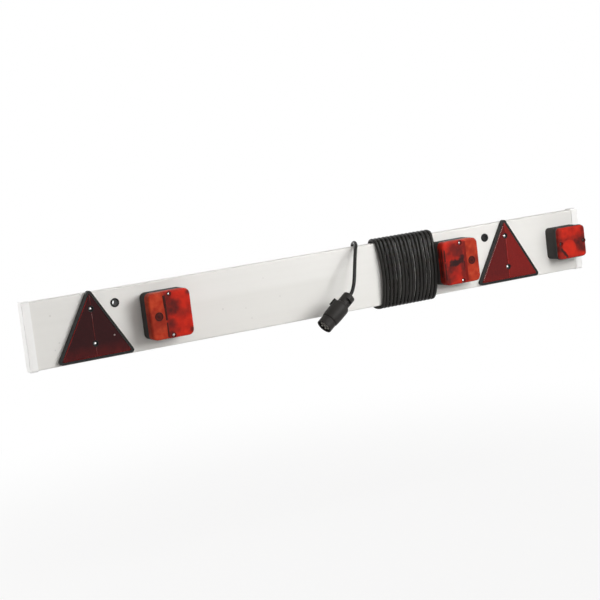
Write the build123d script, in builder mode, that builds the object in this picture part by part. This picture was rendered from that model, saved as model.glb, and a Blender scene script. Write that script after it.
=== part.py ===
from build123d import *
from dataclasses import dataclass
from math import pi, radians, sqrt, tan
import os

# Trailer lighting board: a hollow white plank with end caps, two triangular reflectors, two
# combination rear lamps, one fog lamp, and a seven-core cable that is wound round the plank
# and ends in a seven-pin plug. All sizes are millimetres.
#
# Frame: +X runs along the plank to the right as seen from the lamp side, -Y points out of the
# lamp side, +Z is up. The origin lies on the plank's back face, midway between its two fixing
# holes. Places on the lamp side are given as u (along), v (up) and w (out of the face), from
# the middle of the front face.

# Plank
BOARD_LENGTH = 1368
BOARD_HEIGHT = 140
BOARD_THICKNESS = 22
BOARD_WALL = 2.2
BOARD_EDGE_R = 3
WEB_V = 20
WEB_THICKNESS = 2

# Fixing holes and the bushes that line them
HOLE_FROM_END = {"left": 195, "right": 263}
HOLE_FROM_TOP = 30
BUSH_BORE_R = 6
BUSH_WALL = 1.6
BUSH_FLANGE_R = 9.5
BUSH_FLANGE = 1.8
BUSH_CLEARANCE = 0.1

# End caps
CAP_WALL = 2
CAP_LIP = 15
CAP_CLEARANCE = 0.1
CAP_EDGE_R = 1.5

# Triangular reflectors
REFLECTOR_FROM_END = {"left": 139.5, "right": 211.5}
REFLECTOR_SIDE = 171
REFLECTOR_CORNER_R = 6.5
REFLECTOR_BASE_V = -67.5
REFLECTOR_DEPTH = 9
REFLECTOR_RIM = 5
REFLECTOR_SKIRT = 2.5
REFLECTOR_FLOOR = 1.8
PRISM_THICKNESS = 3.4
PRISM_CORNER_R = 2.5
PRISM_BEVEL = 0.8
PRISM_CLEARANCE = 0.15
SCREW_BOSS_R = 6.2
SCREW_BOSS_DROP = 0.5
SCREW_POCKET_R = 4.9
SCREW_POCKET_DEPTH = 4.2
REFLECTOR_SCREW_VS = (37, -35)

# Lamp mouldings, shared by the rear lamps and the fog lamp
LAMP_WALL = 2.6
LAMP_FLOOR = 3
SEAL_THICKNESS = 1.2
PILLAR_R = 4.5
LENS_SCREW_INSET = 6.2
PILLAR_BORE_R = 2.1
LENS_HEAD_POCKET_R = 3.7
LENS_HEAD_POCKET = 3
LENS_EDGE_R = 5
FIT_CLEARANCE = 0.2
CARRIER_THICKNESS = 2
WIRE_HOLE_R = 5
HOLDER_R = 11
HOLDER_HEIGHT = 10
HOLDER_FLOOR = 1.5
BULB_CAP_R = 7.5
BULB_CAP_ABOVE = 3
BULB_NECK_STEP = 1

# Rear lamps
REAR_LAMP_FROM_END = {"left": 296.5, "right": 361}
REAR_LAMP_V = 1.4
REAR_LAMP_WIDTH = 94
REAR_LAMP_HEIGHT = 98.5
REAR_LAMP_CORNER_R = 12
REAR_LAMP_BODY_DEPTH = 26
REAR_LAMP_DEPTH = 48
REAR_FIXING_V = 30
AMBER_SPLIT_U = 12
AMBER_BULB_U = 28
STOP_BULB_U = 20
REAR_GLOBE_R = 9.5
PARTITION_THICKNESS = 2
PARTITION_GAP = 0.6
BULLSEYE_R = 9.5
BULLSEYE_RISE = 0.8

# Fog lamp
FOG_FROM_END = 55
FOG_V = 0
FOG_WIDTH = 77
FOG_HEIGHT = 73
FOG_CORNER_R = 9
FOG_BODY_DEPTH = 37
FOG_DEPTH = 50
FOG_FIXING_U = 24
FOG_FIXING_V = 25
FOG_WIRE_U = -20
FOG_BULB_V = -6
FOG_GLOBE_R = 12.5
FOG_DISH_R = 21
FOG_DISH_RISE = 9
FOG_DISH_WALL = 1.5

# Screws: head radius, head height, shank radius, slot width
TAPPING_SCREW = (4.2, 2.4, 2.0, 1.1)
LENS_SCREW = (3.4, 1.8, 1.8, 0.9)
CLAMP_SCREW = (3, 1.8, 1.6, 0.9)
SCREW_SLOT_DEPTH = 0.9
SCREW_GRIP = 7
SCREW_POINT = 2.5
SCREW_HOLE_CLEARANCE = 0.15

# Cable, its gland and the leads inside the plank
CABLE_D = 8
GLAND_FROM_LAMP = 23
GLAND_V = -8
GLAND_FLANGE_R = 10
GLAND_FLANGE = 2
GLAND_LEAN = (-0.36, 0.83, -0.42)
GLAND_NOSE = 17
GLAND_NOSE_R = 5.6
GLAND_ROOT_R = 7
GLAND_TAIL = 3
GLAND_CLEARANCE = 0.1
LEAD_D = 5
LEAD_GAP = 0.2
LEAD_W = -8
LEAD_BEND_R = 8
LEAD_DIP = 28
LEAD_RISE = 32

# Winding of the cable round the plank
WINDING_LAMP_GAP = 5
WINDING_WIDTH = 138
WINDING_FRONT_BOW = 12
WINDING_BACK_BOW = 4
WINDING_EDGE_GAP = 0.5
WINDING_CORNER_R = 11

# Plug: u from the winding's left end, and places along its axis from its cable end
PLUG_REAR = (-106, -28.5, 52)
PLUG_FRONT = (-182.4, -82.5, 63)
PLUG_LUG_SIDE = (-0.576, 0.722, -0.383)
PLUG_LENGTH = 94
PLUG_CLAMP_LENGTH = 27
PLUG_CLAMP_R = 14
PLUG_CLAMP_EDGE_R = 3
PLUG_NECK_R = 15
PLUG_SHOULDER = 8
PLUG_BODY_R = 19.6
PLUG_BARREL_R = 17.4
PLUG_BARREL_LENGTH = 20
PLUG_BARREL_WALL = 2.2
PLUG_RING_DEPTH = 0.8
PLUG_RING_WIDTH = 1.6
PLUG_LUG_FROM = 28.5
PLUG_LUG_LENGTH = 15.5
PLUG_LUG_WIDTH = 11
PLUG_LUG_RISE = 3.2
PLUG_LUG_ROOT_R = 10
PLUG_FLOOR = 2.2
CARRIER_RECESS = 7
PIN_R = 2.4
PIN_BORE_R = 1.2
PIN_CIRCLE_R = 9
PIN_PROUD = 5
PIN_DEPTH = 6
OUTER_PINS = 6
CLAMP_NOTCH_WIDTH = 7.5
CLAMP_NOTCH_DEPTH = 6
CLAMP_NOTCH_TURN = -40
CLAMP_SCREW_AT = 16.5
CLAMP_SCREW_LENGTH = 6

# Routes of the loose cable, as (u, v, w) points chosen by hand with u from the winding's left
# end, and the share of the shorter of two runs that the arc between them takes up
ARC_SHARE = 0.45
LEAD_IN_ROUTE = [
    (160.88, 6.11, -29.14),
    (155.5, 18.6, -35.4),
    (149.6, 32.2, -37.2),
    (143.7, 45.8, -34.6),
    (137, 60.8, -28.6),
]
TAIL_ROUTE = [
    (3, -65, -27.6),
    (-4, -46, -27.1),
    (-12, -24, -26.7),
    (-21, 0, -26.6),
    (-29.5, 24, -26.6),
    (-35.8, 42, -26.7),
    (-39.7, 55, -27.2),
    (-42, 66, -28.4),
    (-43.9, 74.3, -23.7),
    (-45.5, 78.3, -15),
    (-46.8, 78.3, -5),
    (-49.5, 74.5, 5.5),
    (-55.5, 67, 13.5),
    (-62.5, 57, 23),
    (-70.5, 44.5, 33.3),
    (-77.2, 29.5, 41.3),
    (-82.5, 13, 46.2),
    (-86.5, -2.3, 48.6),
    (-91.2, -13.4, 49.8),
    (-97.9, -22.8, 50.83),
    PLUG_REAR,
]

ENDS = {"left": -1, "right": 1}


def from_ends(distances):
    """Places along the plank, each measured inwards from its own end."""
    return {side: ENDS[side] * (BOARD_LENGTH / 2 - distance) for side, distance in distances.items()}


HOLE_US = from_ends(HOLE_FROM_END)
HOLE_V = BOARD_HEIGHT / 2 - HOLE_FROM_TOP
REFLECTOR_US = from_ends(REFLECTOR_FROM_END)
REAR_LAMP_US = from_ends(REAR_LAMP_FROM_END)
FOG_U = BOARD_LENGTH / 2 - FOG_FROM_END
GLAND_U = REAR_LAMP_US["right"] - GLAND_FROM_LAMP
WINDING_RIGHT_U = REAR_LAMP_US["right"] - REAR_LAMP_WIDTH / 2 - WINDING_LAMP_GAP
WINDING_LEFT_U = WINDING_RIGHT_U - WINDING_WIDTH
FRAME_U = -sum(HOLE_US.values()) / 2
FACE = Plane(
    origin=(FRAME_U, -BOARD_THICKNESS, -HOLE_V), x_dir=(1, 0, 0), z_dir=(0, -1, 0)
)
CORD_R = CABLE_D / 2
BUSH_R = BUSH_BORE_R + BUSH_WALL


def face_point(u, v, w):
    """A point of the lamp side in the part's own frame."""
    return FACE.from_local_coords(Vector(u, v, w))


def cable_point(u, v, w):
    """A point of the cable in the part's own frame, by its place from the winding's left end."""
    return face_point(WINDING_LEFT_U + u, v, w)


def face_plane(u, v, w=0):
    """A plane parallel to the front face, looking out of it."""
    return Plane(origin=face_point(u, v, w), x_dir=FACE.x_dir, z_dir=FACE.z_dir)


def save(part, name):
    """Labels a finished piece and writes it as one STEP file."""
    part.label = name
    export_step(part, f"parts/{name}.step")


def save_group(pieces, name):
    """Writes like pieces as one node of separate solids."""
    with BuildPart() as group:
        add(pieces)
    save(group.part, name)


@dataclass
class Lamp:
    """The sizes that one lamp's body, seal, lens, carrier and screws share."""

    seat: Plane
    width: float
    height: float
    corner_r: float
    body_depth: float
    depth: float
    lens_screws: list
    fixing_screws: list
    wire_hole: tuple

    @property
    def lens_from(self):
        return self.body_depth + SEAL_THICKNESS

    @property
    def carrier_top(self):
        return LAMP_FLOOR + CARRIER_THICKNESS

    def at(self, u, v, w):
        """A plane in the lamp, by its place from the middle of the lamp's back."""
        origin = self.seat.from_local_coords(Vector(u, v, w))
        return Plane(origin=origin, x_dir=self.seat.x_dir, z_dir=self.seat.z_dir)

    def outline(self, inset):
        """The lamp's rounded outline, drawn in by an inset."""
        return RectangleRounded(
            self.width - 2 * inset, self.height - 2 * inset, self.corner_r - inset
        )


def rear_lamp(side):
    """Sizes of one rear lamp: outward is the side of its amber sector."""
    outward = ENDS[side]
    screw_v = REAR_LAMP_HEIGHT / 2 - LENS_SCREW_INSET
    return outward, Lamp(
        seat=face_plane(REAR_LAMP_US[side], REAR_LAMP_V),
        width=REAR_LAMP_WIDTH,
        height=REAR_LAMP_HEIGHT,
        corner_r=REAR_LAMP_CORNER_R,
        body_depth=REAR_LAMP_BODY_DEPTH,
        depth=REAR_LAMP_DEPTH,
        lens_screws=[(0, screw_v), (0, -screw_v)],
        fixing_screws=[(0, REAR_FIXING_V), (0, -REAR_FIXING_V)],
        wire_hole=(0, -REAR_LAMP_V),
    )


FOG_SCREW_U = FOG_WIDTH / 2 - LENS_SCREW_INSET
FOG_LAMP = Lamp(
    seat=face_plane(FOG_U, FOG_V),
    width=FOG_WIDTH,
    height=FOG_HEIGHT,
    corner_r=FOG_CORNER_R,
    body_depth=FOG_BODY_DEPTH,
    depth=FOG_DEPTH,
    lens_screws=[(-FOG_SCREW_U, 0), (FOG_SCREW_U, 0)],
    fixing_screws=[(FOG_FIXING_U, FOG_FIXING_V), (-FOG_FIXING_U, FOG_FIXING_V)],
    wire_hole=(FOG_WIRE_U, -FOG_V),
)
REAR_LAMPS = {side: rear_lamp(side) for side in REAR_LAMP_US}
ALL_LAMPS = [lamp for _, lamp in REAR_LAMPS.values()] + [FOG_LAMP]


def board():
    """The hollow plank: an extruded box section with two webs, then its holes."""
    section = Plane(
        origin=face_point(-BOARD_LENGTH / 2, 0, -BOARD_THICKNESS / 2),
        x_dir=(0, 0, 1),
        z_dir=(1, 0, 0),
    )
    chamber_ends = [
        (BOARD_HEIGHT / 2 - BOARD_WALL, WEB_V + WEB_THICKNESS / 2),
        (WEB_V - WEB_THICKNESS / 2, -WEB_V + WEB_THICKNESS / 2),
        (-WEB_V - WEB_THICKNESS / 2, -BOARD_HEIGHT / 2 + BOARD_WALL),
    ]
    tapped_r = TAPPING_SCREW[2] + SCREW_HOLE_CLEARANCE
    with BuildPart() as plank:
        with BuildSketch(section):
            RectangleRounded(BOARD_HEIGHT, BOARD_THICKNESS, BOARD_EDGE_R)
            for top, bottom in chamber_ends:
                with Locations(((top + bottom) / 2, 0)):
                    Rectangle(
                        top - bottom, BOARD_THICKNESS - 2 * BOARD_WALL, mode=Mode.SUBTRACT
                    )
        extrude(amount=BOARD_LENGTH)
        with BuildSketch(FACE):
            with Locations(*[(u, HOLE_V) for u in HOLE_US.values()]):
                Circle(BUSH_R + BUSH_CLEARANCE)
        extrude(amount=-BOARD_THICKNESS, mode=Mode.SUBTRACT)
        with BuildSketch(FACE):
            for u in REFLECTOR_US.values():
                with Locations(*[(u, v) for v in REFLECTOR_SCREW_VS]):
                    Circle(tapped_r)
        extrude(amount=-BOARD_WALL, mode=Mode.SUBTRACT)
        for lamp in ALL_LAMPS:
            with BuildSketch(lamp.seat):
                with Locations(*lamp.fixing_screws):
                    Circle(tapped_r)
                with Locations(lamp.wire_hole):
                    Circle(WIRE_HOLE_R)
            extrude(amount=-BOARD_WALL, mode=Mode.SUBTRACT)
        with BuildSketch(face_plane(GLAND_U, GLAND_V, -BOARD_THICKNESS)):
            Circle(GLAND_ROOT_R + GLAND_CLEARANCE)
        extrude(amount=BOARD_WALL, mode=Mode.SUBTRACT)
    save(plank.part, "board")


def end_cap(side):
    """A moulded cap that slips over one end of the plank."""
    outward = ENDS[side]
    mouth = Plane(
        origin=face_point(outward * (BOARD_LENGTH / 2 - CAP_LIP), 0, -BOARD_THICKNESS / 2),
        x_dir=(0, 0, 1),
        z_dir=(outward, 0, 0),
    )
    with BuildPart() as cap:
        with BuildSketch(mouth):
            RectangleRounded(
                BOARD_HEIGHT + 2 * CAP_WALL, BOARD_THICKNESS + 2 * CAP_WALL, BOARD_EDGE_R + CAP_WALL
            )
        extrude(amount=CAP_LIP + CAP_WALL)
        fillet(cap.faces().sort_by(Axis(mouth.origin, mouth.z_dir))[-1].edges(), CAP_EDGE_R)
        with BuildSketch(mouth):
            RectangleRounded(
                BOARD_HEIGHT + 2 * CAP_CLEARANCE,
                BOARD_THICKNESS + 2 * CAP_CLEARANCE,
                BOARD_EDGE_R + CAP_CLEARANCE,
            )
        extrude(amount=CAP_LIP, mode=Mode.SUBTRACT)
    save(cap.part, f"end_cap_{side}")


def fixing_bush(side):
    """A flanged bush that lines one fixing hole right through the plank."""
    seat = face_plane(HOLE_US[side], HOLE_V)
    with BuildPart() as bush:
        with BuildSketch(seat):
            Circle(BUSH_FLANGE_R)
        extrude(amount=BUSH_FLANGE)
        fillet(bush.faces().sort_by(Axis(seat.origin, seat.z_dir))[-1].edges(), BUSH_FLANGE / 2)
        with BuildSketch(seat):
            Circle(BUSH_R)
        extrude(amount=-BOARD_THICKNESS)
        with BuildSketch(seat.offset(BUSH_FLANGE)):
            Circle(BUSH_BORE_R)
        extrude(amount=-BUSH_FLANGE - BOARD_THICKNESS, mode=Mode.SUBTRACT)
    save(bush.part, f"fixing_bush_{side}")


def rounded_triangle(inset, corner_r):
    """The reflector's upright triangle, drawn in by an inset, with rounded corners."""
    side = REFLECTOR_SIDE - 2 * sqrt(3) * inset
    base_v = REFLECTOR_BASE_V + inset
    apex_v = base_v + side * sqrt(3) / 2
    corners = Polygon((-side / 2, base_v), (side / 2, base_v), (0, apex_v), align=None)
    fillet(corners.vertices(), corner_r)


def reflector(side):
    """One triangular reflector: a black tray and the red prism plate set in its front."""
    seat = face_plane(REFLECTOR_US[side], 0)
    prism_from = REFLECTOR_DEPTH - PRISM_THICKNESS
    skirt_depth = prism_from - REFLECTOR_FLOOR
    screw_points = [(0, v) for v in REFLECTOR_SCREW_VS]
    boss_top = REFLECTOR_DEPTH - SCREW_BOSS_DROP
    with BuildPart() as tray:
        with BuildSketch(seat):
            rounded_triangle(0, REFLECTOR_CORNER_R)
        extrude(amount=REFLECTOR_DEPTH)
        with BuildSketch(seat):
            rounded_triangle(REFLECTOR_SKIRT, REFLECTOR_CORNER_R - REFLECTOR_SKIRT)
        extrude(amount=skirt_depth, mode=Mode.SUBTRACT)
        with BuildSketch(seat.offset(prism_from)):
            rounded_triangle(REFLECTOR_RIM, PRISM_CORNER_R)
        extrude(amount=PRISM_THICKNESS, mode=Mode.SUBTRACT)
        with BuildSketch(seat):
            with Locations(*screw_points):
                Circle(SCREW_BOSS_R)
        extrude(amount=boss_top)
        with Locations(*[seat.offset(boss_top) * Pos(*point) for point in screw_points]):
            CounterBoreHole(
                TAPPING_SCREW[2] + SCREW_HOLE_CLEARANCE, SCREW_POCKET_R, SCREW_POCKET_DEPTH
            )
    save(tray.part, f"reflector_{side}_body")

    with BuildPart() as prism:
        with BuildSketch(seat.offset(prism_from)):
            rounded_triangle(REFLECTOR_RIM + PRISM_CLEARANCE, PRISM_CORNER_R)
            with Locations(*screw_points):
                Circle(SCREW_BOSS_R + PRISM_CLEARANCE, mode=Mode.SUBTRACT)
        extrude(amount=PRISM_THICKNESS)
        front = prism.faces().sort_by(Axis(seat.origin, seat.z_dir))[-1]
        chamfer(front.outer_wire().edges(), PRISM_BEVEL)
    save(prism.part, f"reflector_{side}_lens")


def screw(seat, size, length):
    """A slotted screw with a domed head that rests on the seat plane."""
    head_r, head_height, shank_r, slot = size
    dome_r = (head_r**2 + head_height**2) / (2 * head_height)
    profile = Plane(origin=seat.origin, x_dir=seat.x_dir, z_dir=-seat.y_dir)
    with BuildPart() as one_screw:
        with BuildSketch(profile):
            with BuildLine():
                RadiusArc((head_r, 0), (0, head_height), -dome_r)
                Polyline(
                    (0, head_height),
                    (0, -length),
                    (shank_r, SCREW_POINT - length),
                    (shank_r, 0),
                    (head_r, 0),
                )
            make_face()
        revolve(axis=Axis(seat.origin, seat.z_dir))
        with BuildSketch(seat.offset(head_height)):
            Rectangle(2 * head_r, slot)
        extrude(amount=-SCREW_SLOT_DEPTH, mode=Mode.SUBTRACT)
    return one_screw.part


def reflector_screws():
    """The four screws that hold both reflectors to the plank."""
    pocket_floor = REFLECTOR_DEPTH - SCREW_BOSS_DROP - SCREW_POCKET_DEPTH
    screws = []
    for u in REFLECTOR_US.values():
        for v in REFLECTOR_SCREW_VS:
            seat = face_plane(u, v, pocket_floor)
            screws.append(screw(seat, TAPPING_SCREW, pocket_floor + SCREW_GRIP))
    save_group(screws, "reflector_screws")


def lamp_screws(lamps, prefix):
    """The screws through the lenses, and the screws that hold the lamps to the plank."""
    lens_screws = []
    fixing_screws = []
    for lamp in lamps:
        head_seat = lamp.depth - LENS_HEAD_POCKET
        for point in lamp.lens_screws:
            seat = lamp.at(*point, head_seat)
            lens_screws.append(screw(seat, LENS_SCREW, head_seat - LAMP_FLOOR - SCREW_GRIP))
        for point in lamp.fixing_screws:
            seat = lamp.at(*point, lamp.carrier_top)
            fixing_screws.append(screw(seat, TAPPING_SCREW, lamp.carrier_top + SCREW_GRIP))
    save_group(lens_screws, f"{prefix}_lens_screws")
    save_group(fixing_screws, f"{prefix}_fixing_screws")


def lamp_body(lamp, name):
    """The black housing: a tray with two pillars for the lens screws and holes in its floor."""
    with BuildPart() as body:
        with BuildSketch(lamp.seat):
            lamp.outline(0)
        extrude(amount=lamp.body_depth)
        with BuildSketch(lamp.seat.offset(LAMP_FLOOR)):
            lamp.outline(LAMP_WALL)
        extrude(amount=lamp.body_depth - LAMP_FLOOR, mode=Mode.SUBTRACT)
        with BuildSketch(lamp.seat.offset(LAMP_FLOOR)):
            with Locations(*lamp.lens_screws):
                Circle(PILLAR_R)
        extrude(amount=lamp.body_depth - LAMP_FLOOR)
        with BuildSketch(lamp.seat.offset(LAMP_FLOOR)):
            with Locations(*lamp.lens_screws):
                Circle(LENS_SCREW[2] + SCREW_HOLE_CLEARANCE)
        extrude(amount=lamp.body_depth - LAMP_FLOOR, mode=Mode.SUBTRACT)
        with BuildSketch(lamp.seat):
            with Locations(*lamp.fixing_screws):
                Circle(TAPPING_SCREW[2] + SCREW_HOLE_CLEARANCE)
            with Locations(lamp.wire_hole):
                Circle(WIRE_HOLE_R)
        extrude(amount=LAMP_FLOOR, mode=Mode.SUBTRACT)
    save(body.part, f"{name}_body")


def lamp_seal(lamp, name):
    """The rubber ring between body and lens, with an eye round each lens screw."""
    with BuildPart() as seal:
        with BuildSketch(lamp.seat.offset(lamp.body_depth)):
            lamp.outline(0)
            with BuildSketch(mode=Mode.SUBTRACT):
                lamp.outline(LAMP_WALL)
            with Locations(*lamp.lens_screws):
                Circle(PILLAR_R)
            with Locations(*lamp.lens_screws):
                Circle(PILLAR_BORE_R, mode=Mode.SUBTRACT)
        extrude(amount=SEAL_THICKNESS)
    save(seal.part, f"{name}_seal")


def lens_shell(lamp):
    """A hollow moulded lens with rounded front edges and two screw pillars."""
    pocket_depth = lamp.depth - LAMP_WALL - lamp.lens_from
    front_axis = Axis(lamp.seat.origin, lamp.seat.z_dir)
    with BuildPart() as lens:
        with BuildSketch(lamp.seat.offset(lamp.lens_from)):
            lamp.outline(0)
        extrude(amount=lamp.depth - lamp.lens_from)
        fillet(lens.faces().sort_by(front_axis)[-1].edges(), LENS_EDGE_R)
        with BuildSketch(lamp.seat.offset(lamp.lens_from)):
            lamp.outline(LAMP_WALL)
        extrude(amount=pocket_depth, mode=Mode.SUBTRACT)
        with BuildSketch(lamp.seat.offset(lamp.lens_from)):
            with Locations(*lamp.lens_screws):
                Circle(PILLAR_R)
        extrude(amount=pocket_depth)
        with Locations(*[lamp.seat.offset(lamp.depth) * Pos(*point) for point in lamp.lens_screws]):
            CounterBoreHole(PILLAR_BORE_R, LENS_HEAD_POCKET_R, LENS_HEAD_POCKET)
    return lens.part


def bulb(seat, globe_r, name):
    """A bayonet bulb on its axis: metal cap, neck and round glass, turned in one profile."""
    profile = Plane(origin=seat.origin, x_dir=seat.x_dir, z_dir=-seat.y_dir)
    cap_top = HOLDER_HEIGHT - HOLDER_FLOOR + BULB_CAP_ABOVE
    neck_r = BULB_CAP_R - BULB_NECK_STEP
    globe_at = cap_top + sqrt(globe_r**2 - neck_r**2)
    globe_top = globe_at + globe_r
    with BuildPart() as lamp_bulb:
        with BuildSketch(profile):
            with BuildLine():
                ThreePointArc((neck_r, cap_top), (globe_r, globe_at), (0, globe_top))
                Polyline(
                    (0, globe_top),
                    (0, 0),
                    (BULB_CAP_R, 0),
                    (BULB_CAP_R, cap_top),
                    (neck_r, cap_top),
                )
            make_face()
        revolve(axis=Axis(seat.origin, seat.z_dir))
    save(lamp_bulb.part, f"{name}_bulb")


def bulb_holders(lamp, points, name):
    """The cup-shaped holders that stand on the carrier, one for each bulb."""
    with BuildPart() as holders:
        with BuildSketch(lamp.seat.offset(lamp.carrier_top)):
            with Locations(*points):
                Circle(HOLDER_R)
        extrude(amount=HOLDER_HEIGHT)
        with BuildSketch(lamp.seat.offset(lamp.carrier_top + HOLDER_FLOOR)):
            with Locations(*points):
                Circle(BULB_CAP_R + FIT_CLEARANCE)
        extrude(amount=HOLDER_HEIGHT - HOLDER_FLOOR, mode=Mode.SUBTRACT)
    save(holders.part, f"{name}_bulb_holder")


def carrier_plate(lamp):
    """The pale plate on the body's floor, with room for the pillars and holes for the screws."""
    with BuildPart() as plate:
        with BuildSketch(lamp.seat.offset(LAMP_FLOOR)):
            lamp.outline(LAMP_WALL + FIT_CLEARANCE)
            with Locations(*lamp.lens_screws):
                Circle(PILLAR_R + FIT_CLEARANCE, mode=Mode.SUBTRACT)
            with Locations(*lamp.fixing_screws):
                Circle(TAPPING_SCREW[2] + SCREW_HOLE_CLEARANCE, mode=Mode.SUBTRACT)
            with Locations(lamp.wire_hole):
                Circle(WIRE_HOLE_R, mode=Mode.SUBTRACT)
        extrude(amount=CARRIER_THICKNESS)
    return plate.part


def rear_lamp_pieces(side):
    """All pieces of one combination rear lamp."""
    outward, lamp = REAR_LAMPS[side]
    name = f"rear_lamp_{side}"
    lamp_body(lamp, name)
    lamp_seal(lamp, name)

    split_u = outward * AMBER_SPLIT_U
    bulb_points = {"amber": (outward * AMBER_BULB_U, 0), "stop": (-outward * STOP_BULB_U, 0)}
    partition_top = lamp.depth - LAMP_WALL - PARTITION_GAP
    partition_height = lamp.height - 2 * (LAMP_WALL + FIT_CLEARANCE)
    plate = carrier_plate(lamp)
    with BuildPart() as carrier:
        add(plate)
        with BuildSketch(lamp.seat.offset(LAMP_FLOOR)):
            with Locations((split_u, 0)):
                Rectangle(PARTITION_THICKNESS, partition_height)
        extrude(amount=partition_top - LAMP_FLOOR)
    save(carrier.part, f"{name}_carrier")

    bulb_holders(lamp, bulb_points.values(), name)
    for kind, (u, v) in bulb_points.items():
        bulb(lamp.at(u, v, lamp.carrier_top + HOLDER_FLOOR), REAR_GLOBE_R, f"{name}_{kind}")

    whole_lens = lens_shell(lamp)
    joint = Plane(origin=lamp.at(split_u, 0, 0).origin, z_dir=lamp.seat.x_dir * outward)
    with BuildPart() as amber:
        add(whole_lens)
        split(bisect_by=joint, keep=Keep.TOP)
        with BuildSketch(lamp.seat.offset(lamp.depth - LAMP_WALL)):
            with Locations(bulb_points["amber"]):
                Circle(BULLSEYE_R)
        extrude(amount=-BULLSEYE_RISE)
    save(amber.part, f"{name}_amber_lens")
    with BuildPart() as red:
        add(whole_lens)
        split(bisect_by=joint, keep=Keep.BOTTOM)
    save(red.part, f"{name}_red_lens")


def fog_lamp_pieces():
    """All pieces of the fog lamp, whose carrier has a dish round the bulb."""
    lamp = FOG_LAMP
    lamp_body(lamp, "fog_lamp")
    lamp_seal(lamp, "fog_lamp")
    save(lens_shell(lamp), "fog_lamp_lens")

    dish_seat = lamp.at(0, FOG_BULB_V, lamp.carrier_top)
    dish_root_r = HOLDER_R + FIT_CLEARANCE
    profile = Plane(origin=dish_seat.origin, x_dir=dish_seat.x_dir, z_dir=-dish_seat.y_dir)
    plate = carrier_plate(lamp)
    with BuildPart() as carrier:
        add(plate)
        with BuildSketch(profile):
            Polygon(
                (dish_root_r, 0),
                (dish_root_r + FOG_DISH_WALL, 0),
                (FOG_DISH_R, FOG_DISH_RISE),
                (FOG_DISH_R - FOG_DISH_WALL, FOG_DISH_RISE),
                align=None,
            )
        revolve(axis=Axis(dish_seat.origin, dish_seat.z_dir))
    save(carrier.part, "fog_lamp_carrier")

    bulb_holders(lamp, [(0, FOG_BULB_V)], "fog_lamp")
    bulb(lamp.at(0, FOG_BULB_V, lamp.carrier_top + HOLDER_FLOOR), FOG_GLOBE_R, "fog_lamp")


def gland_nose():
    """The plane at the root of the gland's slanted nose, looking along the nose."""
    middle = face_point(GLAND_U, GLAND_V, -BOARD_THICKNESS)
    lean = face_point(*GLAND_LEAN) - face_point(0, 0, 0)
    return Plane(origin=middle, x_dir=(1, 0, 0), z_dir=lean)


def cable_gland():
    """The rubber gland in the plank's back wall, with a slanted, tapered nose that holds the cable."""
    nose = gland_nose()
    back = Plane(origin=nose.origin, x_dir=(-1, 0, 0), z_dir=(0, 1, 0))
    with BuildPart() as gland:
        with BuildSketch(nose.offset(-GLAND_NOSE)):
            Circle(GLAND_ROOT_R)
        with BuildSketch(nose.offset(GLAND_NOSE)):
            Circle(GLAND_NOSE_R)
        loft()
        split(bisect_by=back, keep=Keep.TOP)
        with BuildSketch(back):
            Circle(GLAND_FLANGE_R)
        extrude(amount=GLAND_FLANGE)
        with BuildSketch(back):
            Circle(GLAND_ROOT_R)
        extrude(amount=-BOARD_WALL - GLAND_TAIL)
    save(gland.part, "cable_gland")


def inner_leads():
    """Three leads that leave the gland side by side, run on the lower web, and enter the lamps."""
    gland_end_w = -BOARD_THICKNESS + BOARD_WALL + GLAND_TAIL
    run_v = -WEB_V + (WEB_THICKNESS + LEAD_D) / 2
    spacing = LEAD_D + LEAD_GAP
    low_v = GLAND_V - spacing * sqrt(3) / 6
    high_v = GLAND_V + spacing * sqrt(3) / 3
    starts = {
        "left_lamp": (GLAND_U - spacing / 2, low_v, REAR_LAMPS["left"][1], -1),
        "right_lamp": (GLAND_U, high_v, REAR_LAMPS["right"][1], 0),
        "fog_lamp": (GLAND_U + spacing / 2, low_v, FOG_LAMP, 1),
    }
    for name, (start_u, start_v, lamp, along) in starts.items():
        hole = FACE.to_local_coords(lamp.at(*lamp.wire_hole, 0).origin)
        web_run = [
            face_point(start_u + along * LEAD_DIP, run_v, LEAD_W),
            face_point(hole.X - along * LEAD_RISE, run_v, LEAD_W),
        ]
        with BuildPart() as lead:
            with BuildLine() as route:
                FilletPolyline(
                    face_point(start_u, start_v, gland_end_w),
                    face_point(start_u, start_v, LEAD_W),
                    *(web_run if along else []),
                    face_point(hole.X, hole.Y, LEAD_W),
                    face_point(hole.X, hole.Y, lamp.carrier_top),
                    radius=LEAD_BEND_R,
                )
            with BuildSketch(Plane(origin=route.line @ 0, z_dir=route.line % 0)):
                Circle(LEAD_D / 2)
            sweep()
        save(lead.part, f"lead_to_{name}")


def arc_radii(points):
    """The largest arc that each corner of a route allows."""
    radii = []
    for before, here, after in zip(points, points[1:], points[2:]):
        turn = (here - before).get_angle(after - here)
        shorter = min((here - before).length, (after - here).length)
        radii.append(ARC_SHARE * shorter / tan(radians(turn / 2)))
    return radii


def cable_run(route, name, trims):
    """A plain tube along a route, with its ends cut flush with what they meet."""
    points = [cable_point(*point) for point in route]
    radii = arc_radii(points)
    with BuildPart() as run:
        with BuildLine() as path:
            FilletPolyline(*points, radius=radii)
        with BuildSketch(Plane(origin=path.line @ 0, z_dir=path.line % 0)):
            Circle(CORD_R)
        sweep()
        swept = run.part.volume
        for plane in trims:
            split(bisect_by=plane, keep=Keep.TOP)
    length = sum(edge.length for edge in path.edges())
    print(name, "radii", [round(radius) for radius in radii], "length", round(length))
    print(name, "volume over section times length", round(swept / (pi * CORD_R**2 * length), 4))
    save(run.part, name)


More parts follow.
